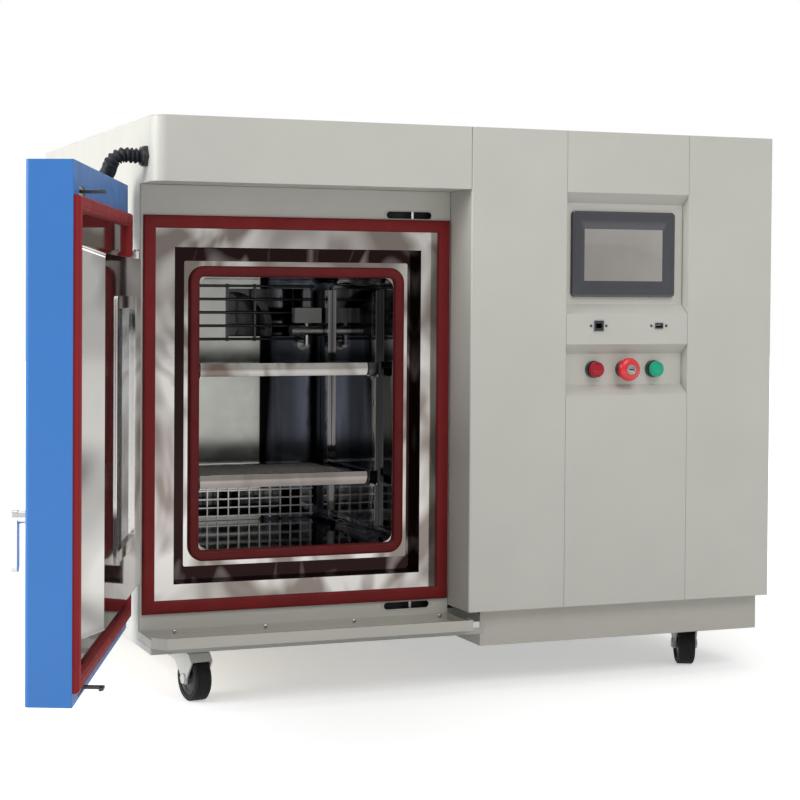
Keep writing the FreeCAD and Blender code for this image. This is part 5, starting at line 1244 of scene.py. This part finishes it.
@dataclass
class Controls:
    """Touch panel, sockets and push buttons in the control panel's recesses."""

    shop: Shop
    face: float = 13.0
    panel_x: float = 856.0
    panel_z: float = 744.5
    bezel_half: tuple[float, float] = (102.0, 74.5)
    case_half: tuple[float, float] = (95.0, 68.0)
    screen: Rect = (778.5, 933.5, 698.0, 788.0)
    lamp: tuple[float, float] = (900.0, 681.0)
    sockets: tuple[float, float] = (799.0, 918.5)
    socket_half: tuple[tuple[float, float], ...] = ((9.3, 9.0), (8.0, 4.9))
    socket_z: float = 620.0
    contacts: int = 8
    contact_pitch: float = 1.02
    buttons: tuple[float, float, float] = (799.5, 859.0, 918.5)
    button_z: float = 544.0
    seat: float = 20.0
    lens: Profile = ((7.6, -3.6), (7.6, 10.4), (13.2, 10.4), (13.55, 10.9), (13.6, 15.2), (13.3, 16.6),
                     (12.4, 17.4), (11.2, 17.6), (10.7, 17.2), (10.2, 17.2), (9.6, 18.0), (6.5, 18.9),
                     (3.0, 19.3), (0.4, 19.4))
    stop: Profile = ((8.0, -3.0), (8.0, 11.4), (11.0, 11.4), (16.2, 13.2), (18.6, 17.4), (20.0, 19.0),
                     (20.0, 23.6), (19.4, 25.6), (17.6, 27.4), (14.0, 28.9), (9.2, 29.6), (8.9, 29.2))
    lock: Profile = ((8.9, 28.6), (8.9, 30.4), (8.2, 31.1), (6.6, 31.2), (5.9, 30.7), (5.8, 29.6),
                     (5.7, 29.6))
    core: Profile = ((5.8, 29.0), (5.8, 29.9), (5.2, 30.2), (0.5, 30.2))

    def build(self, screws: Fasteners) -> None:
        """Dress the controls."""
        self.touch_panel()
        self.socket_faces()
        self.button_parts()
        places = [(x + d, 0.0, self.socket_z) for x in self.sockets for d in (-15.0, 15.0)]
        screws.place("socket_screws", Body.CABINET, places, Way.FRONT, 2.4, HOOK_STEEL)

    def touch_panel(self) -> None:
        """Build the bezel with its chamfered window, the screen and the lamp."""
        form, y, margin, sunk, back = Form(), self.face, 14.0, 1.8, 6.9
        w, h = self.bezel_half
        bezel = (self.panel_x - w, self.panel_x + w, self.panel_z - h, self.panel_z + h)
        form.frame(bezel, [(0.0, y + back), (0.0, y + 1.6), (0.5, y + 0.5), (1.6, y), (4.5, y),
                           (5.0, y + 0.35), (5.6, y + 0.35), (6.1, y), (margin, y)],
                   PANEL_SLATE, radius=7.0, steps=9)
        form.grid.faces.ensure_lookup_table()
        form.grid.faces.remove(form.grid.faces[-1])
        glass = upright(self.screen, 0.6, 9, y + sunk)
        form.skin([upright(inset(bezel, margin), 0.02, 9, y), upright(inset(self.screen, -3.0), 1.5, 9, y),
                   glass], PANEL_SLATE, caps=False)
        index = form.index(SCREEN)
        form.grid.faces.new([form.grid.verts.new(point) for point in glass]).material_index = index
        w, h = self.case_half
        form.block(self.panel_x - w, self.panel_x + w, y + back, y + back + 40.0, self.panel_z - h,
                   self.panel_z + h, BLACK_PLASTIC, 2.0)
        form.turned([(2.2, 0.05), (2.2, 0.3), (1.7, 0.7), (0.7, 0.95)], (self.lamp[0], y, self.lamp[1]),
                    Way.FRONT.vector(), BLACK_ENAMEL, 20)
        form.piece(self.shop, "touch_panel", Body.CABINET, "dark_plastic", ["display"])

    def socket_faces(self) -> None:
        """Rim both sockets and put contacts and a tongue inside."""
        shop = self.shop
        shop.paint(BLACK_PLASTIC, "data_ports")
        form = Form()
        for x, (half_w, half_h) in zip(self.sockets, self.socket_half):
            rect = (x - half_w, x + half_w, self.socket_z - half_h, self.socket_z + half_h)
            form.frame(rect, [(-1.6, 0.0), (-1.6, -0.9), (-1.2, -1.5), (-0.2, -1.5), (0.0, -1.3)],
                       DEVICE_GREY, radius=1.0, steps=5, loop=True)
        form.piece(shop, "socket_rims", Body.CABINET, "grey_plastic")
        form = Form()
        for i in range(self.contacts):
            x = self.sockets[0] + (i - (self.contacts - 1) / 2) * self.contact_pitch
            line = [(x, y, self.socket_z + up) for y, up in ((1.5, 3.4), (5.0, 1.5), (12.0, 0.2))]
            form.bar(line, 0.22, GOLD, 6)
        form.block(self.sockets[1] - 5.2, self.sockets[1] + 5.2, 0.6, 11.5, self.socket_z + 0.5,
                   self.socket_z + 1.9, DEVICE_GREY, 0.2)
        form.piece(shop, "socket_contacts", Body.CABINET, "stainless_wire")

    def button_parts(self) -> None:
        """Turn the lamp buttons and the emergency stop with its key, and paint the collars."""
        shop, z, out = self.shop, self.button_z, Way.FRONT.vector()
        for x, name, body, finish, slot in (
                (self.buttons[0], "power_lens", "power_button", RED_LENS, "red_lens"),
                (self.buttons[2], "lighting_lens", "lighting_button", GREEN_LENS, "green_lens")):
            form = Form()
            form.turned(self.lens, (x, self.seat, z), out, finish, 48)
            form.piece(shop, name, body, slot, [body])
        form = Form()
        x = self.buttons[1]
        for profile, finish, sides in ((self.stop, STOP_RED, 48), (self.lock, KEY_STEEL, 40),
                                       (self.core, KEY_STEEL, 40)):
            form.turned(profile, (x, self.seat, z), out, finish, sides)
        # A thin near-black plate across the key: painted shade of the key slot.
        form.block(x - 4.4, x + 4.4, self.seat - 30.5, self.seat - 29.8, z - 1.3, z + 1.3, SLOT_SHADE, 0.2)
        form.piece(shop, "emergency_stop", "emergency_button", "stop_red", ["emergency_button"])
        shop.paint(BLACK_ENAMEL, "button_collars")


@dataclass
class Hose:
    """The ribbed hose that carries the door's wires from the cabinet's side."""

    shop: Shop
    radius: float = 12.5
    pitch: float = 7.4
    rib: float = 0.27
    fixed: tuple[tuple[float, float, float], ...] = ((-10.0, 43.0, 891.0), (-24.0, 43.0, 891.5),
                                                      (-41.0, 43.0, 893.0), (-57.0, 46.0, 882.0),
                                                      (-56.0, 66.0, 866.0), (-54.0, 96.0, 863.0))
    gland: tuple[float, float] = (-53.0, 111.5)
    drop: tuple[float, float] = (0.852, 0.835)      # Z of the last points before the gland, in the frame

    def build(self) -> None:
        """Sweep the ribs along the hose and hang it between cabinet and door."""
        g = Graph("ribbed_hose", {"Radius": float, "Rib": float, "Pitch": float,
                                  "Material": bpy.types.Material})
        step = g.sum("DIVIDE", g.start["Pitch"], 10.0)
        line = g.add("GeometryNodeResampleCurve", {"mode": "LENGTH"}, Curve=g.start["Geometry"],
                     Length=step)[0]
        along = g.add("GeometryNodeSplineParameter")["Length"]
        phase = g.sum("MULTIPLY", g.sum("DIVIDE", along, g.start["Pitch"]), math.tau)
        swing = g.add("ShaderNodeMath", {"operation": "MULTIPLY_ADD"}, i0=g.sum("COSINE", phase),
                      i1=-0.5, i2=0.5)
        wave = g.sum("POWER", swing[0], 1.3)
        scale = g.sum("SUBTRACT", 1.0, g.sum("MULTIPLY", wave, g.start["Rib"]))
        ring = g.add("GeometryNodeCurvePrimitiveCircle", Resolution=32, Radius=g.start["Radius"])["Curve"]
        g.close(g.add("GeometryNodeCurveToMesh", Curve=line, Profile_Curve=ring, Scale=scale,
                      Fill_Caps=True)[0])
        low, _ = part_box("door_hose")
        shop = self.shop
        points = [shop.spot(p) for p in self.fixed]
        reach = shop.spot((*self.gland, 0.0))
        points += [Vector((reach.x, reach.y, z)) for z in (*self.drop, low.z)]
        curve = bpy.data.curves.new("hose_line", "CURVE")
        curve.dimensions, curve.resolution_u = "3D", 24
        spline = curve.splines.new("NURBS")
        spline.points.add(len(points) - 1)
        for target, point in zip(spline.points, points):
            target.co = (*point, 1.0)
        spline.order_u, spline.use_endpoint_u = 3, True
        mesh = g.bake(curve, Radius=self.radius * MM, Rib=self.rib, Pitch=self.pitch * MM,
                      Material=HOSE_BLACK.material())
        mesh.name = "wiring_hose"
        hose = bpy.data.objects.new("wiring_hose", mesh)
        bpy.context.scene.collection.objects.link(hose)
        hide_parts("door_hose")
        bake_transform(hose)
        log.info("wiring_hose: %d faces from cabinet to door", len(mesh.polygons))


@dataclass
class Door:
    """Blue shell, polished inner plate, window, fittings and the lever."""

    shop: Shop
    gland: tuple[float, float, float] = (40.0, 66.0, 740.0)     # right side, back and underside

    def on_gland(self, p: Vector) -> bool:
        """Whether a place lies on the gland for the wiring hose."""
        right, back, low = self.gland
        return p.x < right and p.y < back and p.z > low

    def build(self) -> None:
        """Dress the door."""
        shop = self.shop
        shop.paint(BLUE_PAINT, "door_shell")
        shop.paint(DOOR_STEEL, "door_liner")
        shop.paint(POLISHED, "window_frame", "hinge_leaves")
        shop.paint(FOAM, "door_core", "insulation")
        shop.paint(WINDOW, "window_glass")
        shop.paint(HANDLE_STEEL, "handle")
        # The latch bar is darkened: painted shade of the slots that its hooks sit in.
        shop.paint(HOOK_STEEL, "latch_bar")
        shop.paint(BLACK_PLASTIC, "cable_glands")
        shop.dress("door_fittings", "door_fittings_dressed", "polished_steel", SATIN_STEEL,
                   [(BLACK_PLASTIC, self.on_gland)])


@dataclass
class Caster:
    """One swivel caster: fork, wheel and, at the front, its brake pedal."""

    shop: Shop
    name: str
    braked: bool
    wheel_radius: float = 37.5
    wheel_width: float = 29.0
    shoulder: float = 2.2
    ribs: int = 6

    def build(self) -> None:
        """Dress the caster."""
        shop = self.shop
        shop.paint(CASTER_PAINT, "fork_" + self.name)
        if self.braked:
            shop.paint(BRAKE_RED, "pedal_" + self.name)
        self.wheel()

    def wheel(self) -> None:
        """Turn the tyre with its ribs and the hub with its cap."""
        shop = self.shop
        body = "wheel_" + self.name
        spin = next(j for j in shop.frame["joints"] if j["name"] == "spin_" + self.name)
        centre = (Vector(spin["pos_m"]) - shop.zero) / MM
        axis = Vector(spin["axis"]).normalized()
        r, w = self.wheel_radius, self.wheel_width / 2
        form = Form()
        tread = [(r - 2.6, -w), (r - 1.0, -w + 1.4)]
        rib = (2 * w - 2 * self.shoulder) / self.ribs
        for i in range(self.ribs):
            a = -w + self.shoulder + i * rib
            b = a + rib
            tread += [(r, a + 0.15), (r, b - 1.25), (r - 0.9, b - 1.0), (r - 0.9, b - 0.25)]
        tread += [(r, w - 2.2), (r - 1.0, w - 1.4), (r - 2.6, w), (r - 10.0, w - 0.2), (r - 10.6, w - 1.6)]
        tread += [(r - 10.6, -w + 1.6), (r - 10.0, -w + 0.2)]
        form.turned(tread, centre, axis, TYRE, 72, loop=True)
        hub = [(6.1, -w + 0.4), (9.5, -w + 0.4), (10.5, -w + 2.0), (22.0, -w + 4.6), (24.5, -w + 3.6),
               (r - 10.4, -w + 2.0), (r - 10.4, w - 2.0), (24.5, w - 3.6), (22.0, w - 4.6), (10.5, w - 2.0),
               (9.5, w - 0.4), (6.1, w - 0.4)]
        form.turned(hub, centre, axis, BLACK_PLASTIC, 48, loop=True)
        form.piece(shop, "tyre_" + self.name, body, "black_tyre", [body])


@dataclass
class Machine:
    """What stands behind the control side: compressor, condenser, fans, humidifier and electrics."""

    shop: Shop

    def build(self) -> None:
        """Dress the machine side."""
        shop = self.shop
        shop.paint(BLACK_ENAMEL, "compressor", "condenser_fan", "fan_motor")
        shop.paint(BARE_METAL, "condenser", "duct_coils")
        shop.paint(SATIN_STEEL, "humidifier")
        shop.paint(DEVICE_GREY, "electrics")


# ---- studio --------------------------------------------------------------------------


@dataclass
class Studio:
    """Floor, soft lights, pale surroundings and the camera at the photograph's angle."""

    eye: tuple[float, float, float] = (-1.155848, -2.836494, 0.671071)
    yaw: float = 18.989
    pitch: float = 1.238
    roll: float = 0.316
    lens: float = 77.55
    shift: tuple[float, float] = (0.17515, -0.08535)
    near: float = 1.1
    far: float = 2.6
    glow: float = 0.45
    ambient: float = 0.42

    def build(self) -> None:
        """Set the stage."""
        self.floor()
        self.lights()
        self.surroundings()
        self.camera()
        bpy.context.scene.view_settings.view_transform = "Standard"

    def floor(self) -> None:
        """Lay a large pale floor."""
        mesh = bpy.data.meshes.new("floor")
        grid = bmesh.new()
        bmesh.ops.create_grid(grid, x_segments=8, y_segments=8, size=14.0)
        grid.to_mesh(mesh)
        grid.free()
        shader = Shader("studio_floor")
        shader.base(shader.blend(shader.noise(1.5), (0.93, 0.93, 0.93), (0.95, 0.95, 0.95)))
        shader.set(Roughness=0.75, Specular_IOR_Level=0.2)
        away = shader.add("ShaderNodeVectorMath")
        away.operation = "LENGTH"
        shader.join(shader.place, away.inputs[0])
        far = shader.add("ShaderNodeMapRange", From_Min=self.near, From_Max=self.far, To_Min=self.glow,
                         To_Max=1.0)
        shader.join(away.outputs["Value"], far.inputs["Value"])
        seen = self.seen(shader.tree)
        share = shader.add("ShaderNodeMath")
        share.operation = "MULTIPLY"
        shader.join(seen, share.inputs[0])
        shader.join(far.outputs["Result"], share.inputs[1])
        shader.set(Emission_Color=(1.0, 1.0, 1.0, 1.0))
        shader.join(share.outputs[0], shader.bsdf.inputs["Emission Strength"])
        mesh.materials.append(shader.material)
        floor = bpy.data.objects.new("floor", mesh)
        bpy.context.scene.collection.objects.link(floor)
        floor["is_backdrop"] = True

    def lamp(self, name: str, place: Sequence[float], target: Sequence[float], size: float,
             power: float) -> None:
        """Hang a square soft light.

        Args:
            name: Its name.
            place: Where it hangs.
            target: What it points at.
            size: Side length in metres.
            power: Watts.
        """
        data = bpy.data.lights.new(name, "AREA")
        data.shape, data.size, data.energy = "SQUARE", size, power
        lamp = bpy.data.objects.new(name, data)
        lamp.location = place
        lamp.rotation_euler = (Vector(target) - Vector(place)).to_track_quat("-Z", "Y").to_euler()
        bpy.context.scene.collection.objects.link(lamp)

    def lights(self) -> None:
        """Hang the key light at the left, a fill in front and one above."""
        self.lamp("key", (-4.8, -0.5, 2.4), (0.0, 0.2, 0.5), 2.4, 225.0)
        self.lamp("front", (0.2, -3.1, 3.3), (0.1, 0.0, 0.8), 2.0, 50.0)
        self.lamp("top", (0.4, 0.4, 4.4), (0.1, 0.2, 0.5), 3.0, 35.0)

    @staticmethod
    def seen(tree: bpy.types.NodeTree) -> Socket:
        """A factor of 1 for the camera, in reflections and through glass, and 0 for other light."""
        path = tree.nodes.new("ShaderNodeLightPath")
        first, second = tree.nodes.new("ShaderNodeMath"), tree.nodes.new("ShaderNodeMath")
        first.operation = second.operation = "ADD"
        second.use_clamp = True
        tree.links.new(path.outputs["Is Camera Ray"], first.inputs[0])
        tree.links.new(path.outputs["Is Glossy Ray"], first.inputs[1])
        tree.links.new(first.outputs[0], second.inputs[0])
        tree.links.new(path.outputs["Is Transmission Ray"], second.inputs[1])
        return second.outputs[0]

    def surroundings(self) -> None:
        """White to the camera, in reflections and through glass, and a soft grey light elsewhere."""
        world = bpy.data.worlds.new("surroundings")
        world.use_nodes = True
        nodes, links = world.node_tree.nodes, world.node_tree.links
        nodes.clear()
        out = nodes.new("ShaderNodeOutputWorld")
        mix = nodes.new("ShaderNodeMixShader")
        soft, white = nodes.new("ShaderNodeBackground"), nodes.new("ShaderNodeBackground")
        for node, strength in ((soft, self.ambient), (white, 1.0)):
            node.inputs["Color"].default_value = (1.0, 1.0, 1.0, 1.0)
            node.inputs["Strength"].default_value = strength
        links.new(self.seen(world.node_tree), mix.inputs["Fac"])
        links.new(soft.outputs[0], mix.inputs[1])
        links.new(white.outputs[0], mix.inputs[2])
        links.new(mix.outputs[0], out.inputs["Surface"])
        bpy.context.scene.world = world

    def camera(self) -> None:
        """Place the camera."""
        data = bpy.data.cameras.new("camera")
        data.lens, data.sensor_width = self.lens, 36.0
        data.shift_x, data.shift_y = self.shift
        data.clip_start, data.clip_end = 0.05, 60.0
        eye = bpy.data.objects.new("camera", data)
        yaw, pitch, roll = (math.radians(a) for a in (self.yaw, self.pitch, self.roll))
        ahead = Vector((math.sin(yaw) * math.cos(pitch), math.cos(yaw) * math.cos(pitch), -math.sin(pitch)))
        side = Vector((math.cos(yaw), -math.sin(yaw), 0.0))
        up = side.cross(ahead)
        right = side * math.cos(roll) + up * math.sin(roll)
        above = up * math.cos(roll) - side * math.sin(roll)
        turn = Matrix((right, above, -ahead)).transposed().to_4x4()
        eye.matrix_world = Matrix.Translation(Vector(self.eye)) @ turn
        bpy.context.scene.collection.objects.link(eye)
        bpy.context.scene.camera = eye


def main() -> None:
    """Build every sub-assembly."""
    logging.basicConfig(level=logging.INFO, format="%(name)s: %(message)s")
    shop = Shop()
    Studio().build()
    screws = Fasteners(shop)
    Cabinet(shop).build(screws)
    Seals(shop).build()
    Workspace(shop).build()
    Shelves(shop).build()
    Controls(shop).build(screws)
    Door(shop).build()
    Hose(shop).build()
    for name in ("front_left", "front_right", "rear_left", "rear_right"):
        Caster(shop, name, name.startswith("front")).build()
    Machine(shop).build()
    log.info("%d pieces", shop.pieces)


if __name__ == "__main__":
    main()
